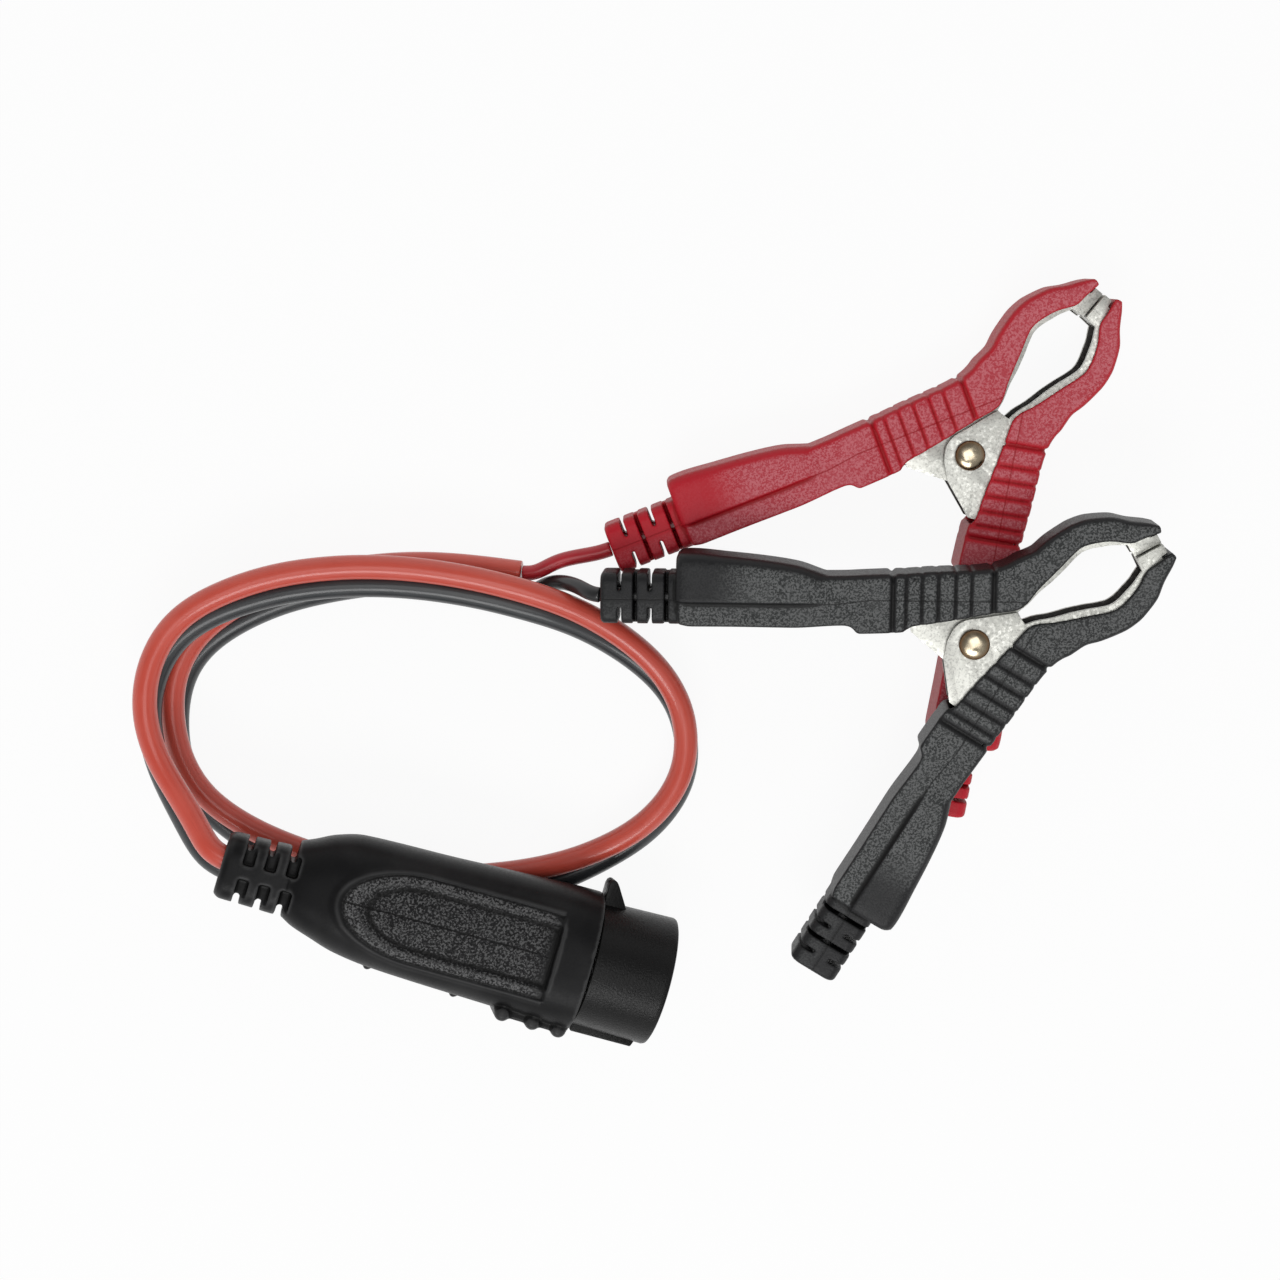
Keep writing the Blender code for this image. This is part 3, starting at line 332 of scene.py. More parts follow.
def plated_steel(name, colour, deep, roughness):
    """Zinc plated sheet: crystal speckle, faint stains, sheared edges and a shaded inside."""
    finish = Finish(name, colour, roughness, 0.85)
    crystals = finish.cells(1500.0)
    stains = finish.noise(260.0, 4.0, 0.6)
    specks = finish.noise(2300.0, 2.0, 0.7)
    inside = finish.mark("inside")
    sheared = finish.mark("sheared")
    body = finish.mixed(stains.ramped(0.42, 0.72, 0.0, 0.5), colour, tone(colour, 0.82))
    body = finish.mixed(specks.ramped(0.48, 0.66, 0.0, 0.6), body, tone(colour, 0.5))
    body = finish.mixed(sheared * 0.5, body, tone(colour, 0.55))
    # Between the flanges: near black and less metallic, as painted shade.
    body = finish.mixed(inside * 0.97, body, deep)
    finish.set("Base Color", body)
    finish.set("Metallic", 0.85 - inside * 0.6)
    finish.set("Roughness", crystals.ramped(0.05, 0.6, roughness - 0.06, roughness + 0.14))
    finish.set("Normal", finish.bump(crystals + stains * 0.5, 0.3, 0.00003))
    return finish.material


def turned_metal(name, colour, rim, roughness):
    """Polished metal, with painted shade towards its rim."""
    finish = Finish(name, colour, roughness, 1.0)
    swirls = finish.noise(700.0, 3.0, 0.6)
    edge = finish.mark("rim")
    # Towards the rim the colour runs to the rim colour: painted shade.
    body = finish.mixed(edge.ramped(0.5, 0.95, 0.0, 0.95), colour, rim)
    body = finish.mixed(swirls.ramped(0.5, 0.8, 0.0, 0.35), body, tone(colour, 0.65))
    finish.set("Base Color", body)
    finish.set("Roughness", swirls.ramped(0.3, 0.7, roughness - 0.05, roughness + 0.12))
    finish.set("Normal", finish.bump(swirls, 0.15, 0.00003))
    return finish.material


def grained_body(name, colour, pale, deep):
    """Plug body: satin shell, with coarse grain, a border and a seam in the grip recess, paler convex edges,
    and painted shade in the hollows.
    """
    finish = Finish(name, colour, 0.4, steady={"Specular IOR Level": 0.16})
    grip = finish.mark("grip")
    inside = finish.mark("inside")
    fine = finish.noise(2400.0, 3.0, 0.6)
    pebbles = finish.cells(2300.0)
    veins = finish.noise(2300.0, 2.0, 0.7)
    patches = finish.noise(120.0, 3.0, 0.5)
    convex = finish.mark("edge")
    hollow_shade = finish.mark("hollow_shade")
    seam = grip * abs(finish.mark("seam")).ramped(0.1, 0.26, 1.0, 0.0)
    border = grip * abs(inside - 1.1).ramped(0.2, 1.1, 1.0, 0.0)
    body = finish.mixed(patches.ramped(0.4, 0.75, 0.0, 0.15), colour, tone(pale, 0.5))
    body = finish.mixed(grip * veins.ramped(0.47, 0.6, 0.0, 0.9), body, pale)
    body = finish.mixed(border * veins.ramped(0.4, 0.6, 0.0, 0.55), body, tone(pale, 1.4))
    body = finish.mixed(convex.ramped(0.15, 0.9, 0.0, 0.3), body, pale)
    # Hollows go towards the deep colour: painted shade.
    hollow_shade_share = hollow_shade.ramped(0.05, 0.6, 0.0, 0.85)
    body = finish.mixed(hollow_shade_share, body, deep)
    body = finish.mixed(seam * 0.9, body, deep)
    finish.set("Base Color", body)
    finish.set("Roughness", fine.ramped(0.3, 0.8, 0.36, 0.5) + grip * 0.08)
    shell = finish.bump(fine, 0.3, 0.00004)
    coarse = (1.0 - pebbles) * grip + veins * grip - seam
    finish.set("Normal", finish.bump(coarse, 0.9, 0.00016, shell))
    return finish.material


LOOKS = {
    # Mouldings: the third colour is the pale painted sheen of flat faces; the fourth is the seam's tone and
    # the painted shade of sides and hollows.
    "sleeve_red": moulded_plastic(
        "crimson_moulding", (0.5, 0.01, 0.022), (0.47, 0.045, 0.062), (0.6, 0.155, 0.18),
        (0.32, 0.001, 0.005), 0.44, 0.24),
    "sleeve_black": moulded_plastic(
        "charcoal_moulding", (0.012, 0.012, 0.013), (0.02, 0.022, 0.022), (0.125, 0.128, 0.128),
        (0.003, 0.003, 0.003), 0.42, 0.24),
    "plug_soft": grained_body(
        "plug_moulding", (0.005, 0.005, 0.0055), (0.11, 0.11, 0.111), (0.002, 0.002, 0.002)),
    "plug_hard": moulded_plastic(
        "shroud_moulding", (0.006, 0.006, 0.006), (0.012, 0.012, 0.012), (0.02, 0.02, 0.02),
        (0.002, 0.002, 0.002), 0.32, 0.2),
    "cable_red": cable_sheath(
        "salmon_insulation", (0.6, 0.078, 0.05), (0.66, 0.11, 0.078), (0.46, 0.045, 0.03), 0.34),
    "cable_black": cable_sheath(
        "grey_insulation", (0.03, 0.034, 0.037), (0.055, 0.06, 0.063), (0.014, 0.016, 0.017), 0.4),
    "zinc_steel": plated_steel("zinc_plated_steel", (0.7, 0.7, 0.65), (0.018, 0.014, 0.011), 0.36),
    "rivet_brass": turned_metal("rivet_metal", (0.68, 0.58, 0.42), (0.13, 0.06, 0.02), 0.2),
    "spring_steel": turned_metal("spring_wire", (0.5, 0.5, 0.49), (0.3, 0.3, 0.3), 0.28),
    "tinned_contact": turned_metal("tinned_metal", (0.7, 0.68, 0.64), (0.4, 0.38, 0.34), 0.25),
    "thin_red": cable_sheath(
        "crimson_wire", (0.45, 0.012, 0.022), (0.55, 0.04, 0.055), (0.3, 0.004, 0.008), 0.4),
    "thin_black": cable_sheath(
        "black_wire", (0.012, 0.012, 0.013), (0.03, 0.03, 0.032), (0.006, 0.006, 0.007), 0.38),
}


# Mesh building

def new_object(name, mesh):
    item = bpy.data.objects.new(name, mesh)
    bpy.context.scene.collection.objects.link(item)
    return item


def shell_of(name, rings):
    """Closed skin over rings of equal point count, with flat ends."""
    builder = bmesh.new()
    rows = [[builder.verts.new(point) for point in ring] for ring in rings]
    count = len(rows[0])
    for near, far in zip(rows, rows[1:]):
        for i in range(count):
            j = (i + 1) % count
            builder.faces.new((near[i], near[j], far[j], far[i]))
    builder.faces.new(reversed(rows[0]))
    builder.faces.new(rows[-1])
    return finished(name, builder)


def plate_of(name, outline, low, high):
    """Flat outline raised from z low to z high."""
    return shell_of(name, [[(x, y, z) for x, y in outline] for z in (low, high)])


def finished(name, builder, turn_out=True):
    """Object from a mesh under construction, with its faces turned outwards if asked."""
    if turn_out:
        bmesh.ops.recalc_face_normals(builder, faces=builder.faces)
    mesh = bpy.data.meshes.new(name)
    builder.to_mesh(mesh)
    builder.free()
    return new_object(name, mesh)


def evaluated(item):
    """Swap an object's mesh for the one its modifiers make, and drop them."""
    graph = bpy.context.evaluated_depsgraph_get()
    made = bpy.data.meshes.new_from_object(item.evaluated_get(graph))
    item.modifiers.clear()
    old = item.data
    item.data = made
    bpy.data.meshes.remove(old)
    return item


def combined(item, tool, operation):
    modifier = item.modifiers.new("shape", "BOOLEAN")
    modifier.object = tool
    modifier.operation = operation
    modifier.solver = "EXACT"
    evaluated(item)
    bpy.data.objects.remove(tool, do_unlink=True)
    return item


def joined(item, tool):
    return combined(item, tool, "UNION")


def cut(item, tool):
    return combined(item, tool, "DIFFERENCE")


def softened(item, voxel, rounds):
    """Even fine skin with softly rounded edges, as a moulding has."""
    remesh = item.modifiers.new("skin", "REMESH")
    remesh.mode = "VOXEL"
    remesh.voxel_size = voxel
    smooth = item.modifiers.new("soft", "SMOOTH")
    smooth.factor = 0.5
    smooth.iterations = rounds
    return evaluated(item)


def bevelled(item, width, segments=2, angle=35):
    bevel = item.modifiers.new("edges", "BEVEL")
    bevel.width = width
    bevel.segments = segments
    bevel.limit_method = "ANGLE"
    bevel.angle_limit = math.radians(angle)
    return evaluated(item)


def copied(item, name):
    return new_object(name, item.data.copy())


def mark(mesh, name, values, domain="POINT"):
    """Give each point or face of the mesh a number that its material reads."""
    layer = mesh.attributes.new(name, "FLOAT", domain)
    layer.data.foreach_set("value", np.asarray(values, dtype=np.float32))


def points_of(mesh, what="co"):
    """Each point's place, or its normal, as a table of x, y and z."""
    flat = np.empty(len(mesh.vertices) * 3, dtype=np.float32)
    mesh.vertices.foreach_get(what, flat)
    return flat.reshape(-1, 3).astype(float)


def ease(values, low, high):
    """Smooth rise from 0 to 1 while the values run from low to high."""
    share = np.clip((values - low) / (high - low), 0, 1)
    return share * share * (3 - 2 * share)


def mark_seam(mesh, across, broad):
    """Mark how far each point lies from the parting seam, in mm, and which points are on a broad face."""
    mark(mesh, "seam", np.clip(across, -2, 2))
    mark(mesh, "face", broad)


def mark_sleeve(mesh, side):
    """Mark the sleeve's seam; its flat faces, for the grain and a painted sheen that gives way to painted
    shade towards the pod's tail and on the strain relief; and its steep sides, for painted shade.
    """
    x, y, z = points_of(mesh).T
    back = -x * math.cos(HANDLE_ANGLE) + side * y * math.sin(HANDLE_ANGLE)
    out = x * math.sin(HANDLE_ANGLE) + side * y * math.cos(HANDLE_ANGLE)
    upright = np.abs(points_of(mesh, "normal")[:, 2])
    # Upward faces carry the grain and the painted sheen, but not in the grooves.
    sheen_and_grain_faces = ease(upright, 0.82, 0.98)
    # Painted shade: the pod's tail and the strain relief lose most of the painted sheen.
    tail = ease(out, POD_SEAM - 0.6, POD_SEAM + 0.2) * ease(back, 41.0, 51.0)
    relief = ease(back, HANDLE_END - 1.0, HANDLE_END + 1.0)
    for centre, width in GROOVES:
        band = width / 2 + (0.5 if side == LOWER else 0.2)
        sheen_and_grain_faces *= ease(np.abs(back - centre), band - 0.3, band + 0.1)
    mark(mesh, "flat", sheen_and_grain_faces * (1 - 0.9 * tail) * (1 - 0.75 * relief))
    # Steep sides, for painted shade.
    mark(mesh, "side", 1 - ease(upright, 0.2, 0.75))
    line = np.interp(back, (20.0, 27.0, 56.0, 58.0), (SEAM_AXIS, POD_SEAM, POD_SEAM, RELIEF_AXIS))
    mark_seam(mesh, out - line, (np.abs(z) > SLEEVE_HALF - 1.1) & (back > -12.0))


def mark_relief(mesh, reach, rounds=10):
    """Mark convex edges, and hollows for painted shade, by how far each point stands from its smoothed
    surface.
    """
    points = points_of(mesh)
    count = len(points)
    ends = np.empty(len(mesh.edges) * 2, dtype=np.int32)
    mesh.edges.foreach_get("vertices", ends)
    near, far = ends[0::2], ends[1::2]
    degree = np.bincount(near, minlength=count) + np.bincount(far, minlength=count)
    smooth = points.copy()
    for _ in range(rounds):
        total = np.empty_like(smooth)
        for axis in range(3):
            total[:, axis] = np.bincount(near, smooth[far, axis], count)
            total[:, axis] += np.bincount(far, smooth[near, axis], count)
        smooth = total / np.maximum(degree, 1)[:, None]
    stand = ((points - smooth) * points_of(mesh, "normal")).sum(axis=1) / reach
    mark(mesh, "edge", np.clip(stand - 0.04, 0, 1))
    mark(mesh, "hollow_shade", np.clip(-stand, 0, 1))


def coated(item, look, place, sharp=None):
    """Move a piece to its place and give it its material, smooth but for edges past the sharp angle."""
    item.data.transform(place)
    item.data.materials.clear()
    item.data.materials.append(LOOKS[look])
    item.data.shade_smooth()
    if sharp:
        item.data.set_sharp_from_angle(angle=math.radians(sharp))


def dressed(item, slot, place, body, node, look=None, sharp=None):
    """Coat a finished piece and hang it on its body in place of its solid."""
    coated(item, look or slot, place, sharp)
    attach(item, body)
    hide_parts(node)
    return item


# Rows of equal bars, made with geometry nodes

def grown_tree(name, inputs, kinds, links):
    """Geometry tree from tables: its named inputs, its nodes, and what is linked to what."""
    tree = bpy.data.node_groups.new(name, "GeometryNodeTree")
    for label, kind in inputs:
        tree.interface.new_socket(name=label, in_out="INPUT", socket_type="NodeSocket" + kind)
    tree.interface.new_socket(name="Geometry", in_out="OUTPUT", socket_type="NodeSocketGeometry")
    made = {"given": tree.nodes.new("NodeGroupInput"), "result": tree.nodes.new("NodeGroupOutput")}
    for key, kind in kinds.items():
        made[key] = tree.nodes.new("GeometryNode" + kind)
    for source, output, target, socket in links:
        tree.links.new(made[source].outputs[output], made[target].inputs[socket])
    return tree


def bar_row_tree():
    """Tree of equal blocks along a line: how many, where they start, their step and size."""
    inputs = (
        ("Count", "Int"), ("Start", "Vector"), ("Step", "Vector"), ("Size", "Vector"), ("Finish", "Material"),
    )
    kinds = {
        "line": "MeshLine", "block": "MeshCube", "copies": "InstanceOnPoints",
        "solid": "RealizeInstances", "finish": "SetMaterial",
    }
    return grown_tree("bar_row", inputs, kinds, (
        ("given", "Count", "line", "Count"), ("given", "Start", "line", "Start Location"),
        ("given", "Step", "line", "Offset"), ("given", "Size", "block", "Size"),
        ("line", "Mesh", "copies", "Points"), ("block", "Mesh", "copies", "Instance"),
        ("copies", "Instances", "solid", "Geometry"), ("solid", "Geometry", "finish", "Geometry"),
        ("given", "Finish", "finish", "Material"), ("finish", "Geometry", "result", "Geometry"),
    ))


def wire_tree():
    """Tree of a round wire along a line of points: its radius and how many sides it has."""
    inputs = (("Geometry", "Geometry"), ("Radius", "Float"), ("Sides", "Int"), ("Finish", "Material"))
    kinds = {
        "path": "MeshToCurve", "profile": "CurvePrimitiveCircle", "skin": "CurveToMesh",
        "solid": "RealizeInstances", "finish": "SetMaterial",
    }
    tree = grown_tree("round_wire", inputs, kinds, (
        ("given", "Geometry", "path", "Mesh"), ("given", "Radius", "profile", "Radius"),
        ("given", "Sides", "profile", "Resolution"), ("path", "Curve", "skin", "Curve"),
        ("profile", "Curve", "skin", "Profile Curve"), ("skin", "Mesh", "solid", "Geometry"),
        ("solid", "Geometry", "finish", "Geometry"), ("given", "Finish", "finish", "Material"),
        ("finish", "Geometry", "result", "Geometry"),
    ))
    skin = next(node for node in tree.nodes if node.bl_idname == "GeometryNodeCurveToMesh")
    skin.inputs["Fill Caps"].default_value = True
    return tree


BAR_ROW = bar_row_tree()
ROUND_WIRE = wire_tree()


def grown(item, tree, values):
    """Run a geometry tree on an object with its named inputs, and keep the plain mesh."""
    modifier = item.modifiers.new("grown", "NODES")
    modifier.node_group = tree
    for socket in tree.interface.items_tree:
        if socket.in_out == "INPUT" and socket.name in values:
            modifier[socket.identifier] = values[socket.name]
    return evaluated(item)


def bars(name, count, start, step, size, finish, place=None):
    item = new_object(name, bpy.data.meshes.new(name))
    given = {"Count": count, "Start": start, "Step": step, "Size": size, "Finish": finish}
    grown(item, BAR_ROW, given)
    if place:
        item.data.transform(place)
        item.data.update()
        builder = bmesh.new()
        builder.from_mesh(item.data)
        bmesh.ops.recalc_face_normals(builder, faces=builder.faces)
        builder.to_mesh(item.data)
        builder.free()
    return item


# Curves through rows of numbers

def eased(rows, knots, stations):
    """Values between the rows at each station, smooth and without overshoot."""
    rows, knots = np.array(rows, float), np.array(knots, float)
    runs = np.diff(knots)[:, None]
    slopes = np.diff(rows, axis=0) / runs
    before, after = slopes[:-1], slopes[1:]
    same = before * after > 0
    w1, w2 = 2 * runs[1:] + runs[:-1], runs[1:] + 2 * runs[:-1]
    mean = (w1 + w2) / (w1 / np.where(same, before, 1.0) + w2 / np.where(same, after, 1.0))
    bends = np.concatenate((slopes[:1], np.where(same, mean, 0.0), slopes[-1:]))
    index = np.clip(np.searchsorted(knots, stations, side="right") - 1, 0, len(knots) - 2)
    run = runs[index]
    t = ((stations - knots[index]) / run[:, 0])[:, None]
    start, end = rows[index], rows[index + 1]
    return (
        start * (1 + 2 * t) * (1 - t) ** 2 + end * t * t * (3 - 2 * t)
        + bends[index] * run * t * (1 - t) ** 2 + bends[index + 1] * run * t * t * (t - 1)
    )


def sleeve_rows():
    """Close rows of inner and outer points from the handle's tail to the jaw's tip."""
    rows = [(s, inner, s, outer) for s, inner, outer in HANDLE_ROWS] + list(JAW_ROWS)
    middles = np.array([((a + c) / 2, (b + d) / 2) for a, b, c, d in rows])
    knots = np.concatenate(([0.0], np.cumsum(np.hypot(*np.diff(middles, axis=0).T))))
    near_grooves = (HANDLE_ROWS[0][0] - 18.0, HANDLE_ROWS[0][0] + 6.0)
    stations = np.concatenate((
        np.arange(0.0, near_grooves[0], 0.6),
        np.arange(*near_grooves, 0.15),
        np.arange(near_grooves[1], knots[-1], 0.4),
        knots[-1:],
    ))
    return eased(rows, knots, stations)


SLEEVE_ROWS = sleeve_rows()


def handle_point(s, o, side=UPPER):
    x = -s * math.cos(HANDLE_ANGLE) + o * math.sin(HANDLE_ANGLE)
    y = s * math.sin(HANDLE_ANGLE) + o * math.cos(HANDLE_ANGLE)
    return Vector((x, side * y))


def handle_pair(s, o):
    return tuple(handle_point(s, o))


def handle_place(side):
    """Matrix from (s, o, z) to the clamp's own plane."""
    across, up = handle_point(1, 0, side), handle_point(0, 1, side)
    return Matrix(((across.x, up.x, 0, 0), (across.y, up.y, 0, 0), (0, 0, 1, 0), (0, 0, 0, 1)))


def groove_depth(s):
    depth = 0.0
    for centre, width in GROOVES:
        share = abs(s - centre) / (width / 2)
        if share < 1:
            depth = max(depth, GROOVE_DEPTH * (1 - share * share))
    return depth


def across_ring(inner, outer, half, outer_edge, inner_edge, side):
    """Section with round corners between an inner and an outer point."""
    start = handle_point(*inner, side)
    reach = handle_point(*outer, side) - start
    width = reach.length
    along = reach / width
    out, back = min(outer_edge, 0.42 * width), min(inner_edge, 0.25 * width)
    corners = ((back, half - back, back, 90), (back, back - half, back, 180),
               (width - out, out - half, out, 270), (width - out, half - out, out, 0))
    ring = []
    for across, z, radius, first in corners:
        for step in range(6):
            angle = math.radians(first + 18 * step)
            point = start + along * (across + radius * math.cos(angle))
            ring.append((point.x, point.y, z + radius * math.sin(angle)))
    return ring


def relief_ring(s, half, side):
    ring = []
    inset = half - RELIEF_EDGE
    for across, up, first in ((1, 1, 0), (-1, 1, 90), (-1, -1, 180), (1, -1, 270)):
        for step in range(7):
            angle = math.radians(first + 15 * step)
            point = handle_point(s, RELIEF_AXIS + across * inset + RELIEF_EDGE * math.cos(angle), side)
            ring.append((point.x, point.y, up * inset + RELIEF_EDGE * math.sin(angle)))
    return ring


def bore_bar(radius, s_low, s_high, side, sides=48):
    rings = []
    for s in (s_low, s_high):
        ring = []
        for step in range(sides):
            angle = math.tau * step / sides
            point = handle_point(s, RELIEF_AXIS + radius * math.cos(angle), side)
            ring.append((point.x, point.y, radius * math.sin(angle)))
        rings.append(ring)
    return shell_of("bar", rings)


def jaw_shift(side):
    return -side * (SHEET + FIT_GAP) / 2


def pulled(row, depth):
    """Point on a section at a depth below its outer point."""
    inner, outer = Vector(row[:2]), Vector(row[2:])
    return outer + (inner - outer).normalized() * depth


def width_of(row):
    return math.dist(row[:2], row[2:])


def channel(side):
    """Hollow that holds the steel jaw, open along the mouth."""
    low = -JAW_HALF - FIT_GAP + jaw_shift(side)
    high = JAW_HALF + FIT_GAP + jaw_shift(side)
    pairs = []
    for s in (CHANNEL_BACK, 25.0, CHANNEL_START + 0.2):
        pairs.append(((s, HANDLE_FLOOR), (s, 13.0 - SLEEVE_WALL + (25.0 - s) * 0.03)))
    for row in SLEEVE_ROWS[::2]:
        if row[0] > CHANNEL_START or row[2] < JAW_ROWS[-1][2] + TIP_WALL:
            continue
        width = width_of(row)
        pairs.append((pulled(row, width + 1.2), pulled(row, min(SLEEVE_WALL, 0.6 * width))))
    rings = []
    for inner, outer in pairs:
        a, b = handle_point(*inner, side), handle_point(*outer, side)
        rings.append([(a.x, a.y, low), (b.x, b.y, low), (b.x, b.y, high), (a.x, a.y, high)])
    return shell_of("channel", rings)


def slotted(sleeve, side):
    """Cut the strain relief's cross slots: one pair from its edges, one pair from its faces."""
    spine, reach, place = RELIEF_SPINE / 2, RELIEF_HALF + 1.0, handle_place(side)
    depth = reach - spine
    for way in (1, -1):
        centre = way * (spine + depth / 2)
        edge = bars("slots", 2, (62.3, RELIEF_AXIS + centre, 0), (5.9, 0, 0),
                    (RELIEF_SLOT, depth, 2 * reach), LOOKS["sleeve_red"], place)
        cut(sleeve, edge)
        face = bars("slots", 2, (59.1, RELIEF_AXIS, centre), (6.1, 0, 0),
                    (RELIEF_SLOT, 2 * reach, depth), LOOKS["sleeve_red"], place)
        cut(sleeve, face)
    return sleeve


def moulded_sleeve(side):
    """Handle with its grip grooves, thumb pod, strain relief and jaw channel."""
    rings = []
    for row in SLEEVE_ROWS:
        depth = groove_depth(row[2])
        outer = (row[2], row[3] - depth)
        rings.append(across_ring(row[:2], outer, SLEEVE_HALF - depth, SLEEVE_EDGE, INNER_EDGE, side))
    sleeve = shell_of("sleeve", rings)
    knots = [row[0] for row in POD_ROWS]
    stations = np.concatenate((np.arange(knots[0], knots[-1], 0.5), knots[-1:]))
    pod = []
    for s, outer, half in eased(POD_ROWS, knots, stations):
        pod.append(across_ring((s, POD_SEAM), (s, outer), half, POD_EDGE, INNER_EDGE, side))
    joined(sleeve, shell_of("pod", pod))
    ends = ((HANDLE_END - 1.5, 0.0), (RELIEF_END - 0.7, 0.0), (RELIEF_END - 0.35, 0.12), (RELIEF_END, 0.5))
    joined(sleeve, shell_of("relief", [relief_ring(s, RELIEF_HALF - drop, side) for s, drop in ends]))
    cut(sleeve, channel(side))
    cut(sleeve, bore_bar(WIRE / 2 + FIT_GAP, CHANNEL_BACK - 1.0, RELIEF_END + 2.0, side))
    slotted(sleeve, side)
    for way in (1, -1):
        notches = bars("notches", 4, (2.3, 13.2, way * 5.2), (3.1, -0.14, 0), (1.7, 0.5, 1.2),
                       LOOKS["sleeve_red"], handle_place(side))
        cut(sleeve, notches)
    return softened(sleeve, SLEEVE_VOXEL, 2)


def jaw_outline(side):
    """Side view of the pressed jaw: nose, mouth edge, ear round the rivet, tail and web."""
    outline = [(NOSE_FRONT, FIT_GAP / 2), (NOSE_BACK, FIT_GAP / 2)]
    first, last = JAW_ROWS[2][0], JAW_ROWS[-3][0]
    mouth = [row for row in SLEEVE_ROWS[::2] if first >= row[0] >= last]
    for row in reversed(mouth):
        proud = np.interp(row[0], *zip(*JAW_PROUD))
        outline.append(handle_pair(*pulled(row, width_of(row) + proud)))
    outline += [(10.2, 1.3), (10.0, -1.5)]
    for degrees in range(-60, -132, -6):
        angle = math.radians(degrees)
        outline.append((EAR_RADIUS * math.cos(angle), EAR_RADIUS * math.sin(angle)))
    floor = HANDLE_FLOOR + FIT_GAP
    outline += [(-4.3, -2.9), (-6.5, -0.25), (-9.5, 7.7)]
    outline += [handle_pair(CHANNEL_START - 0.6, floor), handle_pair(JAW_BACK, floor)]
    depth = SLEEVE_WALL + FIT_GAP
    outline.append(handle_pair(JAW_BACK, HANDLE_TOP - depth))
    outline += web_points(depth)
    tip = JAW_ROWS[-2]
    outline.append(handle_pair(tip[0] - 1.1, tip[1] - 0.1))
    outline.append((NOSE_FRONT, 1.9))
    return [(x, side * y) for x, y in outline]


def web_points(depth):
    """The jaw's back, a depth below the sleeve's outer edge, tail to tip."""
    web = [row for row in SLEEVE_ROWS[::3] if 20.0 >= row[0] and row[2] >= JAW_ROWS[-2][2]]
    return [handle_pair(*pulled(row, min(depth, width_of(row) - 0.1))) for row in web]


def jaw_pocket(side):
    """Space between the jaw's flanges, open to the mouth and the tail."""
    depth = SLEEVE_WALL + FIT_GAP + SHEET
    tail = JAW_BACK + 1.0
    web = [row for row in SLEEVE_ROWS[::3] if 20.0 >= row[0] and row[2] >= JAW_ROWS[-3][2]]
    outline = [handle_pair(tail, HANDLE_TOP - depth)]
    outline += [handle_pair(*pulled(row, depth)) for row in web]
    outline += [(NOSE_BACK + 0.2, 4.6), (NOSE_BACK + 0.2, -7.0), (-7.5, -7.0)]
    outline.append(handle_pair(tail, 0.5))
    low = -JAW_HALF + SHEET + jaw_shift(side)
    high = JAW_HALF - SHEET + jaw_shift(side)
    return plate_of("pocket", [(x, side * y) for x, y in outline], low, high)


def round_bar(name, profile, sides, matrix=None):
    """Turned piece round z from (radius, height) points, with flat ends."""
    rings = []
    angles = [math.tau * i / sides for i in range(sides)]
    for radius, height in profile:
        ring = [Vector((radius * math.cos(angle), radius * math.sin(angle), height)) for angle in angles]
        rings.append([matrix @ point for point in ring] if matrix else ring)
    return shell_of(name, rings)


def pressed_jaw(side):
    low, high = -JAW_HALF + jaw_shift(side), JAW_HALF + jaw_shift(side)
    jaw = plate_of("jaw", jaw_outline(side), low, high)
    cut(jaw, jaw_pocket(side))
    hole = SHANK_RADIUS + FIT_GAP
    cut(jaw, round_bar("hole", [(hole, low - 1), (hole, high + 1)], 48))
    return bevelled(jaw, 0.13, 2, 40)


def mark_jaw(mesh, side):
    """Mark the shaded faces between the flanges, and the sheared edges of the sheet."""
    shift = jaw_shift(side)
    inner = JAW_HALF - SHEET + 0.1
    faces = mesh.polygons
    mark(mesh, "inside", [abs(f.center.z - shift) < inner and f.center.x < NOSE_BACK for f in faces], "FACE")
    mark(mesh, "sheared", [abs(f.normal.z) < 0.5 for f in faces], "FACE")


def rivet():
    """Domed rivet with a rolled rim over each pair of ears."""
    under = JAW_HALF + (SHEET + FIT_GAP) / 2 + FIT_GAP
    dome = [(HEAD_RADIUS - 0.1, under), (HEAD_RADIUS, under + 0.12), (HEAD_RADIUS, under + 0.3)]
    for degrees in range(15, 90, 6):
        angle = math.radians(degrees)
        dome.append((HEAD_RADIUS * math.cos(angle), under + HEAD_RISE * (0.22 + 0.78 * math.sin(angle))))
    profile = [(radius, -height) for radius, height in reversed(dome)]
    profile += [(SHANK_RADIUS, -under), (SHANK_RADIUS, under)] + dome
    item = round_bar("rivet", profile, 64)
    # Share of the head's radius: sets the painted shade at the rim.
    rim_shade = np.hypot(*points_of(item.data)[:, :2].T) / HEAD_RADIUS
    mark(item.data, "rim", rim_shade)
    return item


def spring_points():
    """Leg in the upper handle, coil round the rivet, leg in the lower handle."""
    web = 13.38 - SLEEVE_WALL - FIT_GAP - SHEET
    end = handle_point(17.0, web - SPRING_WIRE / 2 - FIT_GAP)
    start = math.atan2(end.y, end.x) + math.acos(SPRING_RADIUS / end.length)
    turn = 2 * math.tau - 2 * start
    height = SPRING_PITCH * turn / math.tau
    coil = []
    for share in np.linspace(0.0, 1.0, 72):
        angle = start + turn * share
        x, y = SPRING_RADIUS * math.cos(angle), SPRING_RADIUS * math.sin(angle)
        coil.append(Vector((x, y, (share - 0.5) * height)))
    first, last = Vector((end.x, end.y, -height / 2)), Vector((end.x, -end.y, height / 2))
    upper_leg = [first.lerp(coil[0], i / 12) for i in range(12)]
    lower_leg = [coil[-1].lerp(last, (i + 1) / 12) for i in range(12)]
    return upper_leg + coil + lower_leg


def torsion_spring():
    points = spring_points()
    mesh = bpy.data.meshes.new("spring")
    mesh.from_pydata(points, [(i, i + 1) for i in range(len(points) - 1)], [])
    given = {"Radius": SPRING_WIRE / 2, "Sides": 14, "Finish": LOOKS["spring_steel"]}
    return grown(new_object("spring", mesh), ROUND_WIRE, given)


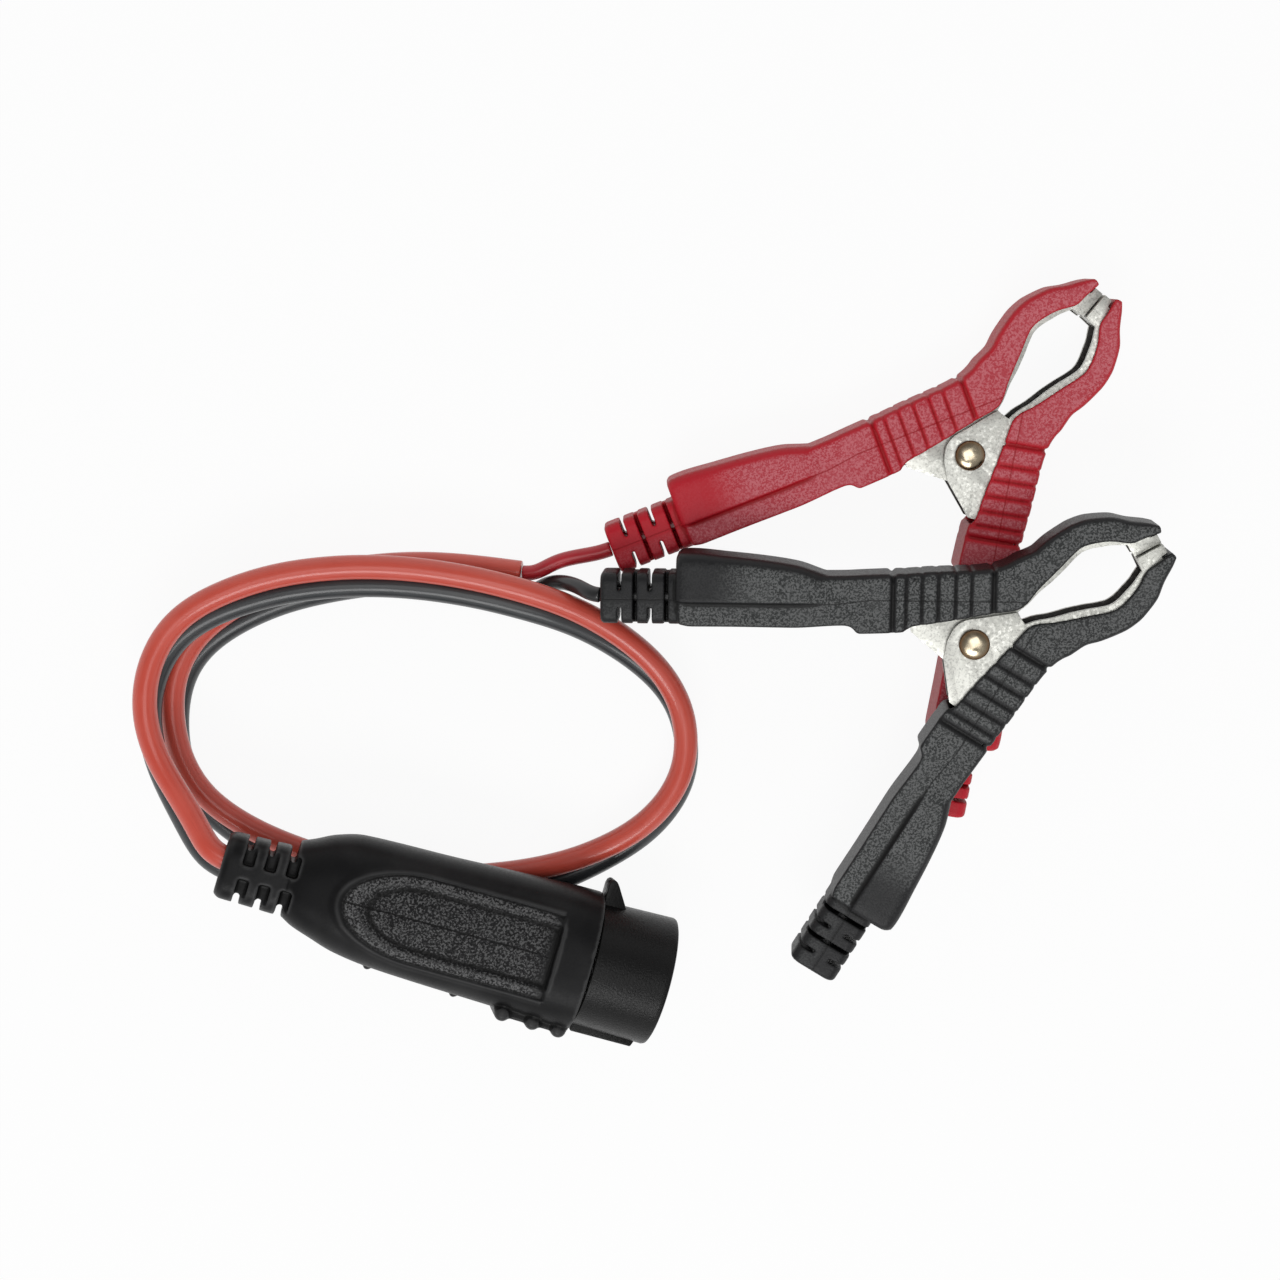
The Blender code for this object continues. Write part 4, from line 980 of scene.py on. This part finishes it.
def dress_clamps():
    sleeves = {side: moulded_sleeve(side) for side in (UPPER, LOWER)}
    for side, sleeve in sleeves.items():
        mark_relief(sleeve.data, 0.16)
        mark_sleeve(sleeve.data, side)
    jaws = {side: pressed_jaw(side) for side in (UPPER, LOWER)}
    for side, jaw in jaws.items():
        mark_jaw(jaw.data, side)
    stud, coil = rivet(), torsion_spring()
    for colour, place in CLAMP_PLACES.items():
        lower_body = f"{colour}_clamp_lower_half"
        for side, word, body in ((UPPER, "upper", LEAD), (LOWER, "lower", lower_body)):
            sleeve = copied(sleeves[side], f"{colour}_{word}_handle_moulding")
            dressed(sleeve, f"sleeve_{colour}", place, body, f"{colour}_{word}_sleeve")
            jaw = copied(jaws[side], f"{colour}_{word}_pressed_jaw")
            dressed(jaw, "zinc_steel", place, body, f"{colour}_{word}_jaw", sharp=30)
        head = copied(stud, f"{colour}_domed_rivet")
        dressed(head, "rivet_brass", place, LEAD, f"{colour}_rivet", sharp=40)
        dress_spring(copied(coil, f"{colour}_torsion_spring"), colour, place)
    for item in (*sleeves.values(), *jaws.values(), stud, coil):
        bpy.data.objects.remove(item, do_unlink=True)


def dress_spring(item, colour, place):
    """Coat the coil in its place and hide its solid."""
    coated(item, "spring_steel", place)
    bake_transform(item)
    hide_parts(f"{colour}_spring")


# Plug

def oval_ring(x, hook_side, ridge_side, thick, sides=120, power=2.5):
    ring = []
    for step in range(sides):
        c, s = math.cos(math.tau * step / sides), math.sin(math.tau * step / sides)
        y = math.copysign(abs(c) ** (2 / power), c) * (hook_side if c > 0 else ridge_side)
        ring.append((x, y, math.copysign(abs(s) ** (2 / power), s) * thick))
    return ring


def smooth_rings(rows, step, sides, power):
    knots = [row[0] for row in rows]
    stations = np.concatenate((np.arange(knots[0], knots[-1], step), knots[-1:]))
    return [oval_ring(*row, sides, power) for row in eased(rows, knots, stations)]


def axis_turn(y=0.0, z=0.0):
    return Matrix.Translation((0, y, z)) @ Matrix.Rotation(math.pi / 2, 4, "Y")


def rolled(y, z):
    """Undo the plug's roll, so that the pair keeps its own."""
    turn = math.radians(PLUG_ROLL)
    return y * math.cos(turn) - z * math.sin(turn), y * math.sin(turn) + z * math.cos(turn)


def pair_offsets():
    side = PAIR_ROLL_SIDE / 2
    rise = math.sqrt(PAIR_SPACING ** 2 - PAIR_ROLL_SIDE ** 2) / 2
    return (side, rise), (-side, -rise)


def sink_grip(mesh):
    """Press the grip recess into both broad faces, with its border, and mark it for its grain."""
    points = points_of(mesh)
    arc = RECESS_HALF * 1.9
    back = np.maximum(RECESS_BACK + arc - points[:, 0], 0.0) / 1.9
    inside = RECESS_HALF - np.hypot(back, np.abs(points[:, 1]))
    front = RECESS_FRONT - points[:, 0]
    broad = np.clip((np.abs(points[:, 2]) - 3.0) / 2.0, 0, 1)
    within = ease(front, -0.1, 0.7)
    depth = 0.35 * ease(inside, 0.0, 0.4) + (RECESS_DEPTH - 0.35) * ease(inside, 1.7, 3.2)
    lip = 0.22 * ease(inside, -1.3, -0.5) * (1 - ease(inside, -0.4, 0.1))
    points[:, 2] -= np.sign(points[:, 2]) * (depth - lip) * broad * within
    mesh.vertices.foreach_set("co", points.astype(np.float32).ravel())
    mesh.update()
    mark(mesh, "grip", ease(inside, 0.1, 0.5) * broad * ease(front, 0.3, 4.0))
    mark(mesh, "inside", np.clip(inside, -2, 6))
    mark_seam(mesh, points[:, 1], broad)


def plug_relief_slots(body):
    """Slots from the edges and pits in the faces, which leave the strain relief as ribs on a spine."""
    step, look = (PLUG_RIB_STEP, 0, 0), LOOKS["plug_soft"]
    for way in (1, -1):
        cut(body, bars("slots", 3, (-86.0, way * 6.3, 0), step, (1.3, 4.0, 18), look))
        for face in (1, -1):
            cut(body, bars("pits", 3, (-85.5, way * 3.5, face * 7.4), step, (2.3, 4.2, 4.0), look))


def plug_details(body):
    """Finger ridges on their foot, and the small beads on the parting line."""
    foot = [(-32.0, -11.5), (-31.0, -14.2), (-17.2, -14.6), (-16.4, -14.3), (-16.4, -11.5)]
    joined(body, bevelled(plate_of("foot", foot, -5.6, 5.6), 0.3, 2))
    ridge = ((0.5, 6.6), (1.1, 6.4), (1.5, 5.8), (1.6, 5.2))
    profile = [(radius, -height) for radius, height in ridge]
    profile += reversed(ridge)
    for x, y in ((-29.6, 13.6), (-23.3, 13.75), (-17.9, 13.9)):
        joined(body, round_bar("ridge", profile, 32, Matrix.Translation((x, -y, 0))))
    bead = [(0.4, -0.9), (0.8, -0.5), (0.8, 0.5), (0.4, 0.9)]
    for x, y in ((-57.5, 12.1), (-39.5, 13.0)):
        joined(body, round_bar("bead", bead, 20, Matrix.Translation((x, -y, 0))))


def plug_moulding():
    body = shell_of("plug", smooth_rings(PLUG_ROWS, 0.6, 120, 2.5))
    sections = [(x, w, w, t) for x, w, t in PLUG_RELIEF_ROWS]
    relief = shell_of("relief", smooth_rings(sections, 0.6, 72, 3.2))
    joined(body, relief)
    plug_relief_slots(body)
    plug_details(body)
    bore = SHEATH / 2 + FIT_GAP
    for offset in pair_offsets():
        y, z = rolled(*offset)
        cut(body, round_bar("bore", [(bore, PLUG_BACK - 2), (bore, PLUG_BACK + 24.3)], 40, axis_turn(y, z)))
    softened(body, PLUG_VOXEL, 3)
    sink_grip(body.data)
    mark_relief(body.data, 0.18)
    return body


def plug_shroud():
    """Round cup with a rounded rim, the snap hook and the guide rail."""
    back = JOINT_X + FIT_GAP
    floor = back + 2.0
    profile = [
        (SHROUD_NECK - 0.25, back), (SHROUD_NECK, back + 0.25), (SHROUD_RADIUS - 0.02, -1.2),
        (SHROUD_RADIUS, -0.55), (SHROUD_RADIUS - 0.15, -0.15), (SHROUD_RADIUS - 0.5, 0.0),
        (SHROUD_BORE + 0.45, 0.0), (SHROUD_BORE + 0.12, -0.15), (SHROUD_BORE, -0.5),
        (SHROUD_BORE, floor + 0.3), (SHROUD_BORE - 0.3, floor),
    ]
    shroud = round_bar("shroud", profile, 128, axis_turn())
    curve = (
        (0.0, 12.0), (0.0, 16.2), (0.2, 16.9), (0.6, 17.3), (1.1, 17.4), (1.6, 17.1), (2.1, 16.5), (5.0, 12.0),
    )
    hook = plate_of("hook", [(back + x, y) for x, y in curve], -3.0, 3.0)
    joined(shroud, bevelled(hook, 0.2, 3))
    rail = [(back + 0.4, -12.0), (back + 0.8, -14.1), (-2.2, -14.1), (-1.4, -12.0)]
    joined(shroud, bevelled(plate_of("rail", rail, -1.2, 1.2), 0.25, 3))
    return shroud


def plug_face():
    """Insulator across the cup, with a round opening for each contact."""
    radius, back = SHROUD_BORE - FIT_GAP, JOINT_X + 2 * FIT_GAP + 2.0
    profile = [(radius, back), (radius, INSERT_FACE - 0.5), (radius - 0.5, INSERT_FACE)]
    face = round_bar("face", profile, 96, axis_turn())
    for y, contact in ((CONTACT_OFFSET, SOCKET_RADIUS), (-CONTACT_OFFSET, PIN_RADIUS)):
        hole = contact + FIT_GAP
        cut(face, round_bar("hole", [(hole, back - 1), (hole, 0)], 40, axis_turn(y)))
    return face


def plug_contacts():
    back = JOINT_X + 2 * FIT_GAP + 2.0
    tip = [(PIN_RADIUS, -3.3), (1.35, -2.95), (1.1, -2.65), (0.7, -2.5)]
    pin = round_bar("pin", [(PIN_RADIUS, back)] + tip, 40, axis_turn(-CONTACT_OFFSET))
    rim = [(SOCKET_RADIUS, back), (SOCKET_RADIUS, -2.75), (2.6, -2.5), (1.75, -2.5),
           (SOCKET_BORE, -2.7), (SOCKET_BORE, -10.5)]
    socket = round_bar("socket", rim, 48, axis_turn(CONTACT_OFFSET))
    return pin, socket


def dress_plug():
    pieces = [
        (plug_moulding(), "plug_moulded_body", "plug_soft", "plug_body", None),
        (plug_shroud(), "plug_round_cup", "plug_hard", "plug_shroud", 32),
        (plug_face(), "plug_contact_plate", "plug_soft", "plug_insert", 32),
    ]
    pin, socket = plug_contacts()
    pieces.append((pin, "plug_round_pin", "tinned_contact", "plug_pin", 32))
    pieces.append((socket, "plug_round_socket", "tinned_contact", "plug_socket", 32))
    for item, name, slot, node, sharp in pieces:
        dressed(item, slot, PLUG_PLACE, LEAD, node, sharp=sharp).name = name


# Cables

def smooth_route(rows, steps):
    rows = [Vector(row) for row in rows]
    ends = [rows[0] * 2 - rows[1]] + rows + [rows[-1] * 2 - rows[-2]]
    dense = []
    for a, b, c, d in zip(ends, ends[1:], ends[2:], ends[3:]):
        for step in range(steps):
            t = step / steps
            curved = (a * 2 - b * 5 + c * 4 - d) * t * t + (b * 3 - a - c * 3 + d) * t ** 3
            dense.append((b * 2 + (c - a) * t + curved) / 2)
    dense.append(rows[-1])
    return dense


def even_route(points, step):
    """Points at an even distance along a dense line."""
    line = np.array([tuple(point) for point in points])
    lengths = np.concatenate(([0.0], np.cumsum(np.linalg.norm(np.diff(line, axis=0), axis=1))))
    goals = np.linspace(0.0, lengths[-1], max(3, round(lengths[-1] / step) + 1))
    return np.array([np.interp(goals, lengths, line[:, axis]) for axis in range(line.shape[1])]).T


def pair_rows():
    """Both sheaths' knots together, six numbers each."""
    knots = []
    last = len(CABLE_ROUTE) - 1
    for i, (x, y, low, side) in enumerate(CABLE_ROUTE):
        before, after = CABLE_ROUTE[max(i - 1, 0)], CABLE_ROUTE[min(i + 1, last)]
        run = math.dist(after[:2], before[:2])
        right = ((after[1] - before[1]) / run, (before[0] - after[0]) / run)
        red = Vector((x, y, low + math.sqrt(PAIR_SPACING ** 2 - side ** 2))) - LAYOUT
        black = Vector((x + side * right[0], y + side * right[1], low)) - LAYOUT
        knots.append((*red, *black))
    return knots


def plug_exit(offset, run):
    y, z = rolled(*offset)
    return PLUG_PLACE @ Vector((PLUG_BACK - run, y, z)) / MM


def sheath_lines():
    starts = []
    for run in (-2.0, FIT_GAP, 2.8):
        red, black = (plug_exit(offset, run) for offset in pair_offsets())
        starts.append((*red, *black))
    ends = [Vector(point) - LAYOUT for point in SHEATH_ENDS]
    pairs = even_route(smooth_route(starts + pair_rows() + [(*ends[0], *ends[1])], 12), 1.6)
    pairs = relaxed(pairs, 22)
    return pairs[:, :3], pairs[:, 3:]


def wire_line(sheath, passed, place):
    end, before = Vector(sheath[-1]), Vector(sheath[-2])
    heading = (end - before).normalized()
    route = [end + heading * FIT_GAP, end + heading * 2.6]
    route += [Vector(point) - LAYOUT for point in passed]
    for run in (2.6, FIT_GAP):
        point = handle_point(RELIEF_END + run, RELIEF_AXIS)
        route.append(place @ Vector((point.x, point.y, 0)) / MM)
    return relaxed(even_route(smooth_route(route, 10), 0.7), 14)


def relaxed(line, rounds):
    """A line as stiff cable lies: its corners eased, its ends kept."""
    for _ in range(rounds):
        line = np.concatenate((line[:1], (line[:-2] + 2 * line[1:-1] + line[2:]) / 4, line[-1:]))
    return line


def tube(name, line, diameter, sides=28):
    """Round cord along a line, with rounded ends and a map of round and along."""
    line = np.asarray(line, float)
    ahead = np.gradient(line, axis=0)
    ahead /= np.linalg.norm(ahead, axis=1)[:, None]
    side = np.cross(ahead[0], (0.0, 0.0, 1.0))
    side /= np.linalg.norm(side)
    radius = diameter / 2
    runs = np.concatenate(([0.0], np.cumsum(np.linalg.norm(np.diff(line, axis=0), axis=1))))
    rings, lengths = [], []
    last = len(line) - 1
    for i, (centre, heading, run) in enumerate(zip(line, ahead, runs)):
        side = side - heading * side.dot(heading)
        side /= np.linalg.norm(side)
        up = np.cross(side, heading)
        stations = [(0.0, radius)]
        if i == 0:
            stations = [(0.0, radius - 0.25), (0.08, radius - 0.07), (0.25, radius)]
        if i == last:
            stations = [(-0.25, radius), (-0.08, radius - 0.07), (0.0, radius - 0.25)]
        for shift, size in stations:
            middle = centre + heading * shift
            ring = []
            for step in range(sides):
                angle = math.tau * step / sides
                ring.append(tuple(middle + size * (math.cos(angle) * side + math.sin(angle) * up)))
            rings.append(ring)
            lengths.append(run + shift)
    item = shell_of(name, rings)
    uv = item.data.uv_layers.new(name="run")
    places = [(step / sides, length * 0.01) for length in lengths for step in range(sides)]
    for face in item.data.polygons:
        corners = [item.data.loops[i].vertex_index for i in face.loop_indices]
        turned = max(places[v][0] for v in corners) - min(places[v][0] for v in corners) > 0.5
        for loop, vertex in zip(face.loop_indices, corners):
            around, along = places[vertex]
            uv.data[loop].uv = (around + (1.0 if turned and around < 0.5 else 0.0), along)
    return item


def insulated(name, line, diameter, slot, look, node):
    """One round cord with its finish, on the part's fixed body."""
    return dressed(tube(name, line, diameter), slot, Matrix.Scale(MM, 4), LEAD, node, look, sharp=50)


def lay_cables():
    """Two sheaths looped together, each with the thin wire that shows where it ends."""
    for colour, sheath, passed in zip(("red", "black"), sheath_lines(), WIRE_ROUTES):
        finish = f"cable_{colour}"
        jacket = insulated(f"{colour}_sheath_cord", sheath, SHEATH, finish, finish, f"{colour}_sheath")
        line = wire_line(sheath, passed, CLAMP_PLACES[colour])
        core = insulated(
            f"{colour}_thin_wire", line, WIRE, f"sleeve_{colour}", f"thin_{colour}", f"{colour}_wire")


def finish_inner_nodes():
    """The crimps, wire ends and cores inside the mouldings keep their solids and get their finish."""
    looks = {"plug_red_core": "cable_red", "plug_black_core": "cable_black"}
    for colour in ("red", "black"):
        looks[f"{colour}_crimp"] = "tinned_contact"
        looks[f"{colour}_inner_wire"] = f"thin_{colour}"
    for node, look in looks.items():
        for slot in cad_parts[node].material_slots:
            slot.material = LOOKS[look]


# Studio

def aimed(item, target):
    item.rotation_euler = (Vector(target) - item.location).to_track_quat("-Z", "Y").to_euler()


def soft_light(name, place, size, watts, target=(0.0, 0.0, 0.0)):
    lamp = bpy.data.lights.new(name, "AREA")
    lamp.shape = "RECTANGLE"
    lamp.size, lamp.size_y = size
    lamp.energy = watts
    item = bpy.data.objects.new(name, lamp)
    bpy.context.scene.collection.objects.link(item)
    item.location = place
    aimed(item, target)


def white_floor():
    """White sheet under the lead: white to the camera and to gloss, with a faint shadow kept."""
    finish = Finish("white_sheet", (0.86, 0.86, 0.86), 0.9)
    tree = finish.tree
    rays = tree.nodes.new("ShaderNodeLightPath")
    camera, gloss = (Signal(finish, rays.outputs[f"Is {kind} Ray"]) for kind in ("Camera", "Glossy"))
    seen = camera.maths("MAXIMUM", camera, gloss)
    glow = finish.node("ShaderNodeEmission", values={"Color": (1.0, 1.0, 1.0, 1.0), "Strength": 1.0})
    matt = Signal(finish, finish.shader.outputs[0])
    blend = finish.node("ShaderNodeMixShader", values={0: seen * FLOOR_GLOW, 1: matt, 2: glow})
    tree.links.new(blend.socket, tree.nodes["Material Output"].inputs["Surface"])
    builder = bmesh.new()
    bmesh.ops.create_grid(builder, x_segments=1, y_segments=1, size=3.0)
    floor = finished("floor", builder, turn_out=False)
    floor.data.materials.append(finish.material)


def pale_world():
    """Light tent: white towards the horizon, darker overhead."""
    world = bpy.data.worlds.new("studio")
    bpy.context.scene.world = world
    world.use_nodes = True
    tree = world.node_tree
    back = tree.nodes["Background"]
    back.inputs["Color"].default_value = (1.0, 1.0, 1.0, 1.0)
    place = tree.nodes.new("ShaderNodeTexCoord")
    parts = tree.nodes.new("ShaderNodeSeparateXYZ")
    fade = tree.nodes.new("ShaderNodeMapRange")
    for socket, value in (("From Min", 0.12), ("From Max", 0.8), ("To Min", 1.0), ("To Max", 0.22)):
        fade.inputs[socket].default_value = value
    tree.links.new(place.outputs["Generated"], parts.inputs[0])
    tree.links.new(parts.outputs["Z"], fade.inputs["Value"])
    tree.links.new(fade.outputs[0], back.inputs["Strength"])


def photo_camera():
    """The photograph's viewpoint: nearly straight down, its top edge towards +Y."""
    lens = bpy.data.cameras.new("camera")
    lens.sensor_width = 36.0
    lens.lens = 62.78
    lens.clip_start = 0.01
    camera = bpy.data.objects.new("camera", lens)
    bpy.context.scene.collection.objects.link(camera)
    camera.location = (Vector((0.0, 75.0, 446.3)) - LAYOUT) * MM
    tilt = math.atan2(75.0, 440.0)
    camera.rotation_euler = (-tilt, 0.0, 0.0)
    bpy.context.scene.camera = camera


def studio():
    photo_camera()
    white_floor()
    pale_world()
    soft_light("overhead_light", (0.05, 0.02, 0.95), (0.5, 0.5), 1.6)
    soft_light("front_light", (-0.1, -0.5, 0.7), (0.5, 0.3), 2.8)
    view = bpy.context.scene.view_settings
    view.view_transform = "Standard"


studio()
lay_cables()
dress_clamps()
dress_plug()
finish_inner_nodes()
